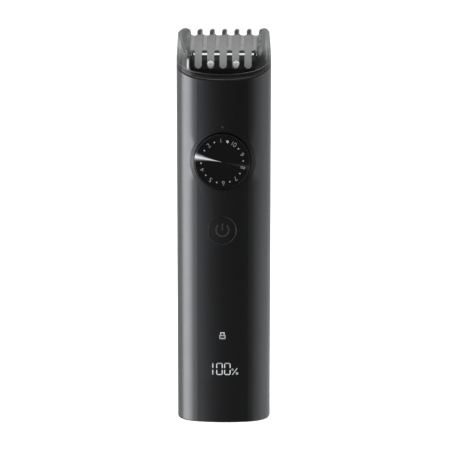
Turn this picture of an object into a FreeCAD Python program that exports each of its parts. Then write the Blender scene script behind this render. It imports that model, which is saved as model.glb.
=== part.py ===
"""Cordless beard trimmer with a zoom dial and a lifting comb, as a parametric assembly.

Frame: +Z up, origin at the middle of the flat base, the dial side faces -Y. Millimetres.
Every driving size is a cell of the sheet "dims"; the pieces are bound to it by formulas.
"""
import FreeCAD, Part

import math
import os
import re

import Sketcher
from FreeCAD import Placement, Rotation, Vector

DIMENSIONS = [
    # housing tube
    ("body_width", 40.3, "width of the housing at the rim"),
    ("body_depth", 34.6, "depth of the housing at the rim"),
    ("front_radius", 38.0, "radius of the oval's front and back arcs"),
    ("corner_radius", 12.5, "radius of the oval's four corner arcs"),
    ("side_radius", 30.0, "radius of the oval's two side arcs"),
    ("foot_inset", 0.3, "how much narrower the foot is on each side"),
    ("body_height", 160.0, "height at which the oval reaches its full width"),
    ("wall", 1.8, "housing wall"),
    ("foot_round", 0.5, "rounding of the bottom edge"),
    ("screw_radius", 1.0, "shank of every M2 screw"),
    ("rim_radius", 67.2, "radius of the curved rim, seen from the side"),
    ("rim_centre_y", 16.8, "centre of the rim curve"),
    ("rim_centre_z", 87.4, "centre of the rim curve"),
    ("trim_thickness", 0.18, "black trim that covers the rim"),
    ("trim_inset", 0.2, "how far the trim stays inside the rim's outer edge"),
    # base
    ("cap_clearance", 0.1, "play around the base cap"),
    ("cap_height", 5.0, "height of the base cap"),
    ("cap_floor", 2.0, "thickness of the base cap's floor"),
    ("seal_thickness", 1.0, "section of the gaskets"),
    ("base_screw_x", 14.6, "distance of the base screws from the middle"),
    ("usb_width", 8.94, "charging socket shell, outside"),
    ("usb_thickness", 3.2, "charging socket shell, outside"),
    ("usb_depth", 7.3, "charging socket shell, length"),
    ("usb_sheet", 0.3, "charging socket shell, sheet thickness"),
    ("usb_mouth", 0.6, "how far the socket sits inside the base face"),
    # battery, boards and frame
    ("cell_radius", 9.2, "battery cell"),
    ("cell_length", 65.0, "battery cell"),
    ("cell_y", 3.4, "battery axis"),
    ("cell_bottom", 17.0, "height of the battery's lower end"),
    ("board_front", -10.8, "front face of the main board"),
    ("board_thickness", 1.2, "main board"),
    ("board_width", 24.0, "main board"),
    ("board_bottom", 12.0, "main board"),
    ("board_top", 94.0, "main board"),
    ("frame_plate", 1.4, "thickness of the frame's plates"),
    ("frame_front", -7.6, "front face of the frame's middle plate"),
    ("spine_back", 15.0, "back face of the frame's spine"),
    ("frame_top", 137.8, "top of the frame"),
    ("rail_x", 13.3, "inner face of the frame's side walls"),
    # power button
    ("button_height", 82.5, "middle of the power button"),
    ("symbol_height", 82.7, "middle of the power symbol"),
    ("button_radius", 5.55, "power button"),
    ("button_gap", 0.15, "gap around the power button"),
    ("lock_height", 37.4, "middle of the lock symbol"),
    ("digit_height", 5.2, "charge display digits"),
    ("digit_width", 2.75, "charge display digits"),
    ("digit_bottom", 20.6, "lower edge of the digits"),
    ("digit_stroke", 0.42, "width of a lit bar"),
    ("digit_gap", 0.6, "gap between the upper and lower bars"),
    ("digit_corner", 0.25, "how far the upright bars stop short of a digit's corners"),
    # dial
    ("dial_height", 111.8, "dial axis"),
    ("dial_radius", 11.75, "dial"),
    ("dial_gap", 0.5, "gap around the dial"),
    ("dial_front", -20.4, "front face of the dial"),
    ("dial_back", -15.3, "back face of the dial"),
    ("pocket_floor", -15.0, "floor of the recess that the dial turns in"),
    ("disc_radius", 11.0, "metal disc on the dial"),
    ("disc_thickness", 0.5, "metal disc on the dial"),
    ("dial_chamfer", 0.55, "chamfer of the dial's front edge"),
    ("serration_count", 80, "serrations round the dial"),
    ("serration_depth", 0.3, "depth of a serration"),
    ("shaft_radius", 2.5, "dial shaft"),
    ("running_gap", 0.05, "radial play of the running fits"),
    ("bush_radius", 4.0, "dial bush, outside"),
    ("cam_radius", 15.2, "cam plate"),
    ("cam_front", -9.0, "front face of the cam plate"),
    ("cam_back", -6.5, "back face of the cam plate"),
    ("groove_pitch", 10.0, "lift of the comb in one turn of the dial"),
    ("groove_width", 2.2, "width of the spiral groove"),
    ("groove_depth", 1.8, "depth of the spiral groove"),
    ("groove_start", 3.5, "radius of the groove at the shortest setting"),
    ("dial_low", -14.75, "dial angle at the shortest setting, from rest"),
    ("dial_high", 327.25, "dial angle at the longest setting, from rest"),
    ("detent_count", 20, "click positions in a turn"),
    # comb carriage
    ("pin_radius", 1.0, "follower pin"),
    ("carriage_front", -6.3, "front face of the carriage's cross plate"),
    ("carriage_plate", 2.0, "thickness of the carriage's cross plate"),
    ("carriage_bottom", 113.3, "lower edge of the carriage"),
    ("arm_inner", 15.25, "inner face of a carriage arm"),
    ("arm_outer", 17.0, "outer face of a carriage arm"),
    ("arm_depth", 7.0, "depth of a carriage arm"),
    ("arm_middle", 0.5, "middle of a carriage arm, from the front"),
    ("arm_top", 157.5, "top of a carriage arm"),
    # comb
    ("comb_gap", 0.62, "gap between the rim and the comb"),
    ("comb_wall", 1.6, "comb wall"),
    ("comb_shoulder", 155.0, "height at which the comb starts to narrow"),
    ("comb_top", 168.0, "height of the comb blank"),
    ("comb_inset", 0.8, "how much the comb narrows to its blank's top"),
    ("collar_height", 1.9, "height of the comb's front collar"),
    ("fin_pitch", 5.26, "distance between comb fins"),
    ("fin_slot", 2.25, "gap between comb fins"),
    ("fin_end", 150.3, "height of the fins' free ends"),
    ("slot_top", 157.9, "upper end of the gaps between the fins"),
    ("web_top", 163.3, "upper edge of the comb's rear wall"),
    ("tip_top", 166.1, "top of the fins"),
    ("tip_width", 1.8, "width of a fin's tip"),
    ("ear_top", 166.6, "top of the comb's ears"),
    ("ear_radius", 2.4, "rounding of the ears"),
    ("ear_x", 17.0, "middle of an ear"),
    ("opening_x", 13.6, "half width of the comb's front opening"),
    # drive
    ("motor_y", 4.5, "motor axis"),
    ("motor_radius", 7.75, "motor can"),
    ("motor_bottom", 104.0, "lower end of the motor"),
    ("motor_length", 20.0, "motor can"),
    ("motor_shaft_radius", 1.0, "motor shaft"),
    ("throw", 0.8, "offset of the eccentric pin"),
    ("drive_pin_radius", 0.6, "eccentric pin"),
    # cutting head
    ("head_bottom", 139.0, "lower face of the head base"),
    ("head_inset", 2.2, "how far the head base stays inside the oval"),
    ("deck", 147.4, "deck of the head base"),
    ("head_half_width", 13.6, "half width of the cutting head"),
    ("cover_front", -5.4, "front face of the blade cover"),
    ("cover_back", -2.6, "back face of the blade cover"),
    ("cover_top", 155.75, "upper edge of the blade cover"),
    ("blade_width", 25.6, "fixed blade"),
    ("blade_thickness", 0.6, "both blades"),
    ("blade_top", 157.6, "tips of the fixed blade"),
    ("blade_gap", 0.02, "play between the blades"),
    ("tooth_pitch", 1.02, "distance between blade teeth"),
    ("tooth_slot", 0.42, "gap between blade teeth"),
    ("tooth_length", 1.1, "length of the blade teeth"),
    ("head_screw_x", 5.4, "blade screws"),
    ("head_screw_z", 152.2, "blade screws"),
]

ALIASES = {name for name, _, _ in DIMENSIONS}
VERTICAL = Rotation()
ALONG_X = Rotation(Vector(0, 1, 0), 90)
ALONG_Y = Rotation(Vector(1, 0, 0), -90)
SLASH_ANGLE = 36
DIRECTIONS = {"z": VERTICAL, "x": ALONG_X, "y": ALONG_Y}

doc = FreeCAD.newDocument("beard_trimmer")
sheet = doc.addObject("Spreadsheet::Sheet", "dims")
nodes = {}


# ---------------------------------------------------------------- sheet and bindings

def fill_sheet():
    """Writes each driving size into the sheet: name, value with alias, meaning."""
    for row, (name, value, meaning) in enumerate(DIMENSIONS, start=1):
        sheet.set("A%d" % row, name)
        sheet.set("B%d" % row, str(value))
        sheet.set("C%d" % row, meaning)
        sheet.setAlias("B%d" % row, name)
    doc.recompute()


def size(text):
    """The present value of a formula in the sheet's aliases."""
    return float(sheet.evalExpression(formula(text)))


def formula(text):
    """The same formula with every name of a dimension looked up in the sheet."""
    def qualify(match):
        word = match.group(0)
        return "dims." + word if word in ALIASES else word
    return re.sub(r"[a-z_]+", qualify, str(text))


def bind(obj, **properties):
    """Binds properties of an object to formulas."""
    for name, text in properties.items():
        obj.setExpression(name, formula(text))


def place(obj, at, along="z"):
    """Puts an object's origin at three formulas, with its own Z along the named axis."""
    obj.Placement = Placement(Vector(), DIRECTIONS[along])
    for axis, text in zip("xyz", at):
        obj.setExpression("Placement.Base." + axis, formula(text))


def node(obj, label):
    """Names an object as one piece of the assembly, written to its own file."""
    obj.Label = label
    nodes[label] = obj
    return obj


# ---------------------------------------------------------------- primitives and booleans

def cylinder(name, radius, length, at, along="z"):
    solid = doc.addObject("Part::Cylinder", name)
    bind(solid, Radius=radius, Height=length)
    place(solid, at, along)
    return solid


def ring(name, ring_radius, section_radius, at, along="z"):
    solid = doc.addObject("Part::Torus", name)
    bind(solid, Radius1=ring_radius, Radius2=section_radius)
    place(solid, at, along)
    return solid


def block(name, low, high):
    """A box between two corners given as formulas."""
    solid = doc.addObject("Part::Box", name)
    length, depth, height = ("(%s) - (%s)" % (b, a) for a, b in zip(low, high))
    bind(solid, Length=length, Width=depth, Height=height)
    place(solid, low)
    return solid


def joined(name, *pieces):
    group = doc.addObject("Part::MultiFuse", name)
    group.Shapes = list(pieces)
    group.Refine = True
    return group


def shared(name, *pieces):
    group = doc.addObject("Part::MultiCommon", name)
    group.Shapes = list(pieces)
    return group


def cut(name, base, *tools):
    """The base less every tool."""
    result = doc.addObject("Part::Cut", name)
    result.Base = base
    result.Tool = tools[0] if len(tools) == 1 else joined(name + "_tools", *tools)
    result.Refine = True
    return result


def group_of(name, *pieces):
    """Several separate solids kept as one piece of the assembly."""
    group = doc.addObject("Part::Compound", name)
    group.Links = list(pieces)
    return group


def shift(at, along, distance):
    """The same point, moved along one axis by a formula."""
    step = "xyz".index(along)
    return tuple("(%s) + (%s)" % (c, distance) if i == step else c for i, c in enumerate(at))


def screw(name, at, along, head_radius, shank_length, turned=False):
    """A pan-head cross screw; the point is under its head and the shank follows the axis."""
    head_height = "0.9"
    head_start = at if turned else shift(at, along, "-" + head_height)
    shank_start = shift(at, along, "-(%s)" % shank_length) if turned else at
    head = cylinder(name + "_head", head_radius, head_height, head_start, along)
    shank = cylinder(name + "_shank", "screw_radius", shank_length, shank_start, along)
    top = shift(at, along, head_height if turned else "-" + head_height)
    arms = []
    for turn in (0, 1):
        reach = ["%s * 0.6" % head_radius, "0.2"] if turn else ["0.2", "%s * 0.6" % head_radius]
        reach.insert("xyz".index(along), "0.5")
        low = ["(%s) - %s" % pair for pair in zip(top, reach)]
        high = ["(%s) + %s" % pair for pair in zip(top, reach)]
        arms.append(block("%s_drive_%d" % (name, turn), low, high))
    return cut(name, joined(name + "_blank", head, shank), *arms)


# ---------------------------------------------------------------- sketches and bodies

def new_body(name):
    return doc.addObject("PartDesign::Body", name)


def plane_of(body, role):
    for feature in body.Origin.OriginFeatures:
        if feature.Role == role:
            return feature
    raise LookupError(role)


def new_sketch(body, name, role, level="0"):
    """A sketch on one of the body's own origin planes, raised by a formula."""
    sketch = body.newObject("Sketcher::SketchObject", name)
    sketch.AttachmentSupport = [(plane_of(body, role), "")]
    sketch.MapMode = "FlatFace"
    sketch.setExpression("AttachmentOffset.Base.z", formula(level))
    return sketch


def draw(sketch, corners):
    """A closed outline of straight lines and arcs, its corner points bound to formulas.

    A corner is (x, y); a corner with a third entry (x, y, (mx, my)) is reached by an arc
    through that middle point.
    """
    points = [Vector(size(c[0]), size(c[1]), 0) for c in corners]
    count = len(corners)
    ends = []
    for index in range(count):
        start, end = points[index - 1], points[index]
        corner = corners[index]
        if len(corner) == 2:
            sketch.addGeometry(Part.LineSegment(start, end), False)
            ends.append((index, 1, 2))
            continue
        middle = Vector(size(corner[2][0]), size(corner[2][1]), 0)
        arc = Part.Arc(start, middle, end)
        sketch.addGeometry(arc, False)
        forward = sketch.getPoint(index, 1).distanceToPoint(start) < 1e-6
        ends.append((index, 1, 2) if forward else (index, 2, 1))
    for index in range(count):
        here, after = ends[index], ends[(index + 1) % count]
        sketch.addConstraint(Sketcher.Constraint("Coincident", here[0], here[2], after[0], after[1]))
    for index, corner in enumerate(corners):
        pin_point(sketch, ends[index][0], ends[index][2], corner[0], corner[1])
        if len(corner) == 3:
            pass_through(sketch, index, *corner[2])


def pin_point(sketch, element, end, x_text, y_text):
    """Fixes a point of the sketch at two formulas."""
    for kind, text in (("DistanceX", x_text), ("DistanceY", y_text)):
        number = sketch.addConstraint(Sketcher.Constraint(kind, -1, 1, element, end, size(text)))
        sketch.setExpression("Constraints[%d]" % number, formula(text))


def pass_through(sketch, element, x_text, y_text):
    """Bends an arc so that it passes a point given by two formulas."""
    number = sketch.addGeometry(Part.Point(Vector(size(x_text), size(y_text), 0)), True)
    pin_point(sketch, number, 1, x_text, y_text)
    sketch.addConstraint(Sketcher.Constraint("PointOnObject", number, 1, element))


def pad(body, sketch, length, midplane=False, backwards=False):
    feature = body.newObject("PartDesign::Pad", sketch.Name + "_pad")
    feature.Profile = sketch
    bind(feature, Length=length)
    feature.Midplane = midplane
    feature.Reversed = backwards
    return feature


def pocket(body, sketch, length, midplane=False, backwards=False):
    feature = body.newObject("PartDesign::Pocket", sketch.Name + "_pocket")
    feature.Profile = sketch
    bind(feature, Length=length)
    feature.Midplane = midplane
    feature.Reversed = backwards
    return feature


def loft(body, kind, *sketches):
    feature = body.newObject("PartDesign::" + kind, sketches[0].Name + "_loft")
    feature.Profile = sketches[0]
    feature.Sections = list(sketches[1:])
    feature.Ruled = True
    return feature


# ---------------------------------------------------------------- the oval section

def oval_centres():
    """Centres of the oval's front arc, side arc and front right corner arc."""
    front = Vector(0, size("front_radius - body_depth / 2"), 0)
    side = Vector(size("body_width / 2 - side_radius"), 0, 0)
    to_front = size("front_radius - corner_radius")
    to_side = size("side_radius - corner_radius")
    span = side - front
    along = (to_front ** 2 - to_side ** 2 + span.Length ** 2) / (2 * span.Length)
    across = math.sqrt(to_front ** 2 - along ** 2)
    direction = span.normalize()
    corner = front + direction * along + Vector(-direction.y, direction.x, 0) * across
    return front, side, corner


def oval_sketch(body, name, inset, level):
    """The housing's section, eight tangent arcs, moved inwards by a formula."""
    sketch = new_sketch(body, name, "XY_Plane", level)
    front, side, corner = oval_centres()
    mirrored_x = Vector(-1, 1, 1)
    mirrored_y = Vector(1, -1, 1)

    def flip(point, signs):
        return Vector(point.x * signs.x, point.y * signs.y, 0)

    both = Vector(-1, -1, 1)
    centres = [front, corner, side, flip(corner, mirrored_y), flip(front, mirrored_y),
               flip(corner, both), flip(side, mirrored_x), flip(corner, mirrored_x)]
    radii = ["front_radius", "corner_radius", "side_radius", "corner_radius"] * 2
    for index in range(8):
        centre = centres[index]
        before, after = centres[index - 1], centres[(index + 1) % 8]
        grows = index % 2 == 0
        start = centre - before if not grows else before - centre
        end = after - centre if grows else centre - after
        circle = Part.Circle(centre, Vector(0, 0, 1), size(radii[index]) - size(inset))
        arc = Part.ArcOfCircle(circle, math.atan2(start.y, start.x), math.atan2(end.y, end.x))
        sketch.addGeometry(arc, False)
    for index in range(8):
        sketch.addConstraint(Sketcher.Constraint("Tangent", index, 2, (index + 1) % 8, 1))
    for index in range(8):
        number = sketch.addConstraint(
            Sketcher.Constraint("Radius", index, size(radii[index]) - size(inset)))
        sketch.setExpression("Constraints[%d]" % number, formula("%s - (%s)" % (radii[index], inset)))
    hold_centre(sketch, 0, -2, "DistanceY", "front_radius - body_depth / 2", False)
    hold_centre(sketch, 4, -2, "DistanceY", "front_radius - body_depth / 2", True)
    hold_centre(sketch, 2, -1, "DistanceX", "side_radius - body_width / 2", True)
    hold_centre(sketch, 6, -1, "DistanceX", "side_radius - body_width / 2", False)
    return sketch


def hold_centre(sketch, element, axis, kind, text, negative):
    """Keeps an arc's centre on an axis at a distance from the origin."""
    sketch.addConstraint(Sketcher.Constraint("PointOnObject", element, 3, axis))
    ends = (element, 3, -1, 1) if negative else (-1, 1, element, 3)
    number = sketch.addConstraint(Sketcher.Constraint(kind, *ends, size(text)))
    sketch.setExpression("Constraints[%d]" % number, formula(text))


def oval_prism(name, inset, low, high):
    """A straight prism of the oval between two heights."""
    body = new_body(name)
    sketch = oval_sketch(body, name + "_section", inset, low)
    pad(body, sketch, "(%s) - (%s)" % (high, low))
    return body


def oval_cone(name, inset, low, high):
    """The housing's gently tapering envelope, moved inwards, between two heights."""
    body = new_body(name)
    foot = "foot_inset * (1 - (%s) / body_height) + (%s)"
    lower = oval_sketch(body, name + "_lower", foot % (low, inset), low)
    upper = oval_sketch(body, name + "_upper", foot % (high, inset), high)
    loft(body, "AdditiveLoft", lower, upper)
    return body


def above_rim(name, clearance):
    """Everything above the rim curve, which is an arc seen from the side, raised by a clearance."""
    body = new_body(name)
    sketch = new_sketch(body, name + "_side", "YZ_Plane")

    def height(y):
        return "rim_centre_z + sqrt((rim_radius + %s) ^ 2 - (%s - rim_centre_y) ^ 2)" % (clearance, y)

    draw(sketch, [("-28", "200"), ("28", "200"), ("28", height("28")),
                  ("-28", height("-28"), ("0", height("0")))])
    pad(body, sketch, "80", midplane=True)
    return body


# ---------------------------------------------------------------- housing

def make_housing():
    """The one-piece tube with its rim, the dial recess and the holes in its front."""
    outside = housing_envelope()
    inside = oval_cone("housing_inside", "wall", "-5", "body_height + 5")
    over_rim = above_rim("housing_over_rim", "0")
    boss = shared("dial_boss",
                  cylinder("dial_boss_disc", "dial_radius + dial_gap + 1.6", "4",
                           ("0", "-17.4", "dial_height"), "y"),
                  oval_cone("dial_boss_limit", "0", "80", "140"))
    shell = joined("housing_blank", cut("housing_tube", outside, inside), boss)
    recess = cylinder("dial_recess", "dial_radius + dial_gap", "20",
                      ("0", "pocket_floor - 20", "dial_height"), "y")
    bush_hole = cylinder("dial_bush_hole", "bush_radius", "10", ("0", "-20", "dial_height"), "y")
    button_hole = cylinder("button_hole", "button_radius + button_gap", "10",
                           ("0", "-20", "button_height"), "y")
    shaped = cut("housing_shaped", shell, over_rim, recess, bush_hole, button_hole)
    return node(cut("housing_with_slots", shaped, *light_pipe_bars("slot")), "housing")


def make_rim_trim():
    """A thin black ring that lies on the curved rim and hides its cut edge."""
    band = cut("rim_trim_band", oval_prism("rim_trim_outer", "trim_inset", "140", "158"),
               oval_prism("rim_trim_inner", "wall + 0.25", "139", "159"))
    low = shared("rim_trim_above", band, above_rim("rim_trim_over_rim", "0"))
    node(cut("rim_trim_ring", low, above_rim("rim_trim_limit", "trim_thickness")), "rim_trim")


def housing_envelope():
    """The tube's outside: the tapering oval with its bottom edge rounded in two steps."""
    body = new_body("housing_outside")
    inset = "foot_inset * (1 - (%s) / body_height) + (%s)"
    steps = [("0", "foot_round"), ("0.29 * foot_round", "0.29 * foot_round"), ("foot_round", "0"),
             ("body_height", "0")]
    sections = [oval_sketch(body, "housing_section_%d" % i, inset % (level, extra), level)
                for i, (level, extra) in enumerate(steps)]
    loft(body, "AdditiveLoft", *sections)
    return body


def bar(name, low_x, high_x, low_z, high_z):
    """A bar of a light pipe that runs back from in front of the housing."""
    return block(name, (low_x, "-19", low_z), (high_x, "board_front - 2.2", high_z))


def zero_bars(name, middle):
    """The six lit bars of a 0."""
    left, right = "%s - digit_width / 2" % middle, "%s + digit_width / 2" % middle
    low, high = "digit_bottom", "digit_bottom + digit_height"
    waist = "digit_bottom + digit_height / 2"
    bars = [bar(name + "_low", "%s + digit_stroke" % left, "%s - digit_stroke" % right,
                low, "%s + digit_stroke" % low),
            bar(name + "_high", "%s + digit_stroke" % left, "%s - digit_stroke" % right,
                "%s - digit_stroke" % high, high)]
    for side, start in (("left", left), ("right", "%s - digit_stroke" % right)):
        end = "%s + digit_stroke" % start
        bars.append(bar("%s_%s_lower" % (name, side), start, end,
                        low + " + digit_corner", waist + " - digit_gap / 2"))
        bars.append(bar("%s_%s_upper" % (name, side), start, end,
                        waist + " + digit_gap / 2", high + " - digit_corner"))
    return bars


def one_bars(name, middle):
    """The two lit bars of a 1."""
    start, end = "%s - digit_stroke / 2" % middle, "%s + digit_stroke / 2" % middle
    waist = "digit_bottom + digit_height / 2"
    return [bar(name + "_lower", start, end, "digit_bottom + digit_corner / 2", waist + " - digit_gap / 2"),
            bar(name + "_upper", start, end, waist + " + digit_gap / 2",
                "digit_bottom + digit_height - digit_corner / 2")]


def percent_bars(name, middle):
    """A small percent sign: two dots and a slanting bar."""
    dots = []
    for label, x, z in (("low", "%s + 0.95" % middle, "digit_bottom + 0.62"),
                        ("high", "%s - 0.95" % middle, "digit_bottom + 2.3")):
        dots.append(cylinder("%s_%s" % (name, label), "0.5", "19 + board_front - 2.2",
                             (x, "-19", z), "y"))
    slash = doc.addObject("Part::Box", name + "_slash")
    bind(slash, Length="0.32", Width="19 + board_front - 2.2", Height="3.5")
    slash.Placement = Placement(Vector(), Rotation(Vector(0, 1, 0), SLASH_ANGLE))
    lean = "%d deg" % SLASH_ANGLE
    bind(slash, **{"Placement.Base.x": "%s - 0.16 * cos(%s) - 1.75 * sin(%s)" % (middle, lean, lean),
                   "Placement.Base.y": "-19",
                   "Placement.Base.z": "digit_bottom + 1.46 + 0.16 * sin(%s)"
                                       " - 1.75 * cos(%s)" % (lean, lean)})
    return dots + [slash]


def display_bars(prefix):
    """All lit bars of the charge display, which reads 100%."""
    return (one_bars(prefix + "_hundreds", "-4.1") + zero_bars(prefix + "_tens", "-1.25")
            + zero_bars(prefix + "_units", "2.1") + percent_bars(prefix + "_percent", "5.25"))


def lock_bars(prefix):
    """A padlock: its body and the legs and bow of its shackle."""
    low = "lock_height - 1.6"
    body = bar(prefix + "_lock_body", "-1.4", "1.4", low, "lock_height + 0.35")
    bow = cut(prefix + "_lock_bow",
              bar(prefix + "_lock_bow_outer", "-0.95", "0.95", "lock_height + 0.45", "lock_height + 1.6"),
              bar(prefix + "_lock_bow_inner", "-0.5", "0.5", "lock_height + 0.3", "lock_height + 1.15"))
    return [body, bow]


def light_pipe_bars(prefix):
    return display_bars(prefix) + lock_bars(prefix)


def make_light_pipes():
    """Clear bars that carry the light of the display to the housing's surface."""
    for label, bars in (("display_digits", display_bars("digit")), ("lock_symbol", lock_bars("lock"))):
        limit = oval_cone(label + "_limit", "0", "10", "50")
        solids = [shared("%s_%d" % (label, index), one, limit) for index, one in enumerate(bars)]
        node(group_of(label + "_group", *solids), label)


# ---------------------------------------------------------------- base

def make_base():
    """The base cap with its gasket, screws and charging socket."""
    reach = "wall + cap_clearance"
    plate = oval_cone("base_cap_plate", reach, "0", "cap_height")
    hollow = oval_cone("base_cap_hollow", "wall + cap_clearance + 3", "cap_floor", "cap_height + 1")
    groove = cut("base_groove",
                 oval_cone("base_groove_outer", "0", "3.2", "3.2 + seal_thickness"),
                 oval_cone("base_groove_inner", "wall + seal_thickness", "3", "5"))
    screw_holes = [cylinder("base_screw_hole_%s" % side, "screw_radius", "20",
                            ("%s * base_screw_x" % side, "0", "-5")) for side in ("-1", "1")]
    screw_sinks = [cylinder("base_screw_sink_%s" % side, "2.1", "2",
                            ("%s * base_screw_x" % side, "0", "-0.8")) for side in ("-1", "1")]
    columns = [cylinder("base_column_%s" % side, "2.8", "cap_height - 0.2",
                        ("%s * base_screw_x" % side, "0", "0.1")) for side in ("-1", "1")]
    collar = block("base_usb_collar", ("-usb_width / 2 - 1.2", "-usb_thickness / 2 - 1.2", "0.1"),
                   ("usb_width / 2 + 1.2", "usb_thickness / 2 + 1.2", "cap_height"))
    mouth = slot_prism("base_usb_mouth", "usb_width + 0.1", "usb_thickness + 0.1", "-1", "cap_height + 1")
    blank = joined("base_cap_blank", cut("base_cap_shell", plate, hollow), collar,
                   *[shared("base_column_in_%d" % i, column,
                            oval_cone("base_column_limit_%d" % i, reach, "0", "cap_height"))
                     for i, column in enumerate(columns)])
    node(cut("base_cap_piece", blank, groove, mouth, *(screw_holes + screw_sinks)), "base_cap")
    make_seal("base_seal", "wall", "seal_thickness", "3.2", "3.2 + seal_thickness")
    screws = [screw("base_screw_%d" % i, ("%s * base_screw_x" % side, "0", "1.2"), "z", "1.9", "9")
              for i, side in enumerate(("-1", "1"))]
    node(group_of("base_screw_group", *screws), "base_screws")
    make_usb_socket()


def make_seal(label, inset, thickness, low, high):
    """An oval gasket between two heights."""
    outer = oval_cone(label + "_outer", inset, low, high)
    inner = oval_cone(label + "_inner", "(%s) + (%s)" % (inset, thickness), "(%s) - 1" % low,
                      "(%s) + 1" % high)
    return node(cut(label + "_ring", outer, inner), label)


def slot_prism(name, width, thickness, low, high):
    """A prism with round ends, long across the housing."""
    middle = block(name + "_middle",
                   ("-((%s) - (%s)) / 2" % (width, thickness), "-(%s) / 2" % thickness, low),
                   ("((%s) - (%s)) / 2" % (width, thickness), "(%s) / 2" % thickness, high))
    ends = [cylinder("%s_end_%s" % (name, side), "(%s) / 2" % thickness, "(%s) - (%s)" % (high, low),
                     ("%s * ((%s) - (%s)) / 2" % (side, width, thickness), "0", low))
            for side in ("-1", "1")]
    return joined(name, middle, *ends)


def make_usb_socket():
    """The charging socket: a sheet shell round a contact tongue, on its own small board."""
    top = "usb_mouth + usb_depth"
    shell = cut("usb_shell_piece",
                slot_prism("usb_outside", "usb_width", "usb_thickness", "usb_mouth", top),
                slot_prism("usb_inside", "usb_width - 2 * usb_sheet", "usb_thickness - 2 * usb_sheet",
                           "usb_mouth - 1", top + " + 1"))
    node(shell, "usb_shell")
    plug_room = "usb_width - 2 * usb_sheet"
    root = slot_prism("usb_tongue_root", plug_room, "usb_thickness - 2 * usb_sheet", top + " - 2", top)
    blade = block("usb_tongue_blade", ("-3.3", "-0.35", "usb_mouth + 0.7"), ("3.3", "0.35", top + " - 1"))
    node(joined("usb_tongue_piece", root, blade), "usb_tongue")
    board = cylinder("charge_board_disc", "7.5", "1", ("0", "0", top))
    node(board, "charge_board")


# ---------------------------------------------------------------- frame, battery and boards

def make_frame():
    """The inner frame: spine, battery ends, middle plate, motor seats and comb guides."""
    inner = oval_prism("frame_limit", "wall + foot_inset + 0.15", "0", "body_height")
    spine = block("frame_spine", ("-11", "spine_back - 2", "10"), ("11", "spine_back", "frame_top"))
    bosses = [cylinder("frame_boss_%s" % side, "2.7", "13", ("%s * base_screw_x" % side, "0", "cap_height"))
              for side in ("-1", "1")]
    shelf = block("frame_shelf", ("-18", "frame_front", "10"), ("18", "spine_back", "10 + frame_plate"))
    cell_end = block("frame_cell_end", ("-15", "frame_front", "cell_bottom + cell_length + 0.7"),
                     ("15", "spine_back", "cell_bottom + cell_length + 0.7 + frame_plate"))
    middle = block("frame_middle", ("-14", "frame_front", "10"),
                   ("14", "frame_front + frame_plate", "cell_bottom + cell_length + 2"))
    walls = [block("frame_wall_%s" % side, ("%s * rail_x - frame_plate / 2" % side, "-2", "90"),
                   ("%s * rail_x + frame_plate / 2" % side, "spine_back", "frame_top"))
             for side in ("-1", "1")]
    lower_seat = block("frame_motor_seat", ("-rail_x", "-2", "motor_bottom - 1.5 - frame_plate"),
                       ("rail_x", "spine_back", "motor_bottom - 1.5"))
    upper_low = "motor_bottom + motor_length"
    upper_seat = block("frame_motor_plate", ("-rail_x", "-3.4", upper_low),
                       ("rail_x", "spine_back", upper_low + " + frame_plate"))
    back_web = block("frame_back_web", ("-rail_x", "spine_back - 2", "cell_bottom + cell_length"),
                     ("rail_x", "spine_back", "frame_top"))
    guides = [block("frame_guide_%s_%d" % (side, i),
                    ("%s * (arm_inner - 0.6) - 0.7" % side, y_low, "126"),
                    ("%s * (arm_inner - 0.6) + 0.7" % side, y_high, "frame_top"))
              for side in ("-1", "1")
              for i, (y_low, y_high) in enumerate((
                  ("arm_middle + arm_depth / 2 + 0.08", "arm_middle + arm_depth / 2 + 1.4"),))]
    leaf_low = "dial_height - cam_radius - 0.85"
    spring_arms = [block("frame_spring_arm_%s" % side,
                         ("%s * 10.75 - 2.75" % side, "-8.4", leaf_low + " - 1.5"),
                         ("%s * 10.75 + 2.75" % side, "-1.5", leaf_low)) for side in ("-1", "1")]
    blank = joined("frame_blank", spine, shelf, cell_end, middle, lower_seat, upper_seat, back_web,
                   *(bosses + walls + guides + spring_arms))
    holes = [cylinder("frame_boss_hole_%s" % side, "screw_radius", "14",
                      ("%s * base_screw_x" % side, "0", "0")) for side in ("-1", "1")]
    nose = cylinder("frame_motor_nose_hole", "3.1", "4", ("0", "motor_y", upper_low + " - 1"))
    motor_holes = [cylinder("frame_motor_hole_%s" % side, "screw_radius", "6",
                            ("%s * 5.4" % side, "motor_y", upper_low + " - 1")) for side in ("-1", "1")]
    back_hole = cylinder("frame_terminal_hole", "5", "6", ("0", "motor_y", "motor_bottom - 5"))
    trimmed = shared("frame_trimmed", cut("frame_cut", blank, nose, back_hole, *(holes + motor_holes)), inner)
    node(trimmed, "inner_frame")


def make_battery():
    """A standard round cell with its tabs."""
    cell = cylinder("cell_can", "cell_radius", "cell_length", ("0", "cell_y", "cell_bottom"))
    groove = ring("cell_groove", "cell_radius + 0.25", "0.6",
                  ("0", "cell_y", "cell_bottom + cell_length - 4"))
    node(cut("cell_piece", cell, groove), "battery_cell")
    upper = block("tab_upper", ("-2", "cell_y - 7", "cell_bottom + cell_length"),
                  ("2", "cell_y + 3", "cell_bottom + cell_length + 0.2"))
    lower = block("tab_lower", ("-2", "cell_y - 7", "cell_bottom - 0.2"),
                  ("2", "cell_y + 3", "cell_bottom"))
    node(group_of("tab_group", upper, lower), "battery_tabs")


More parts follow.
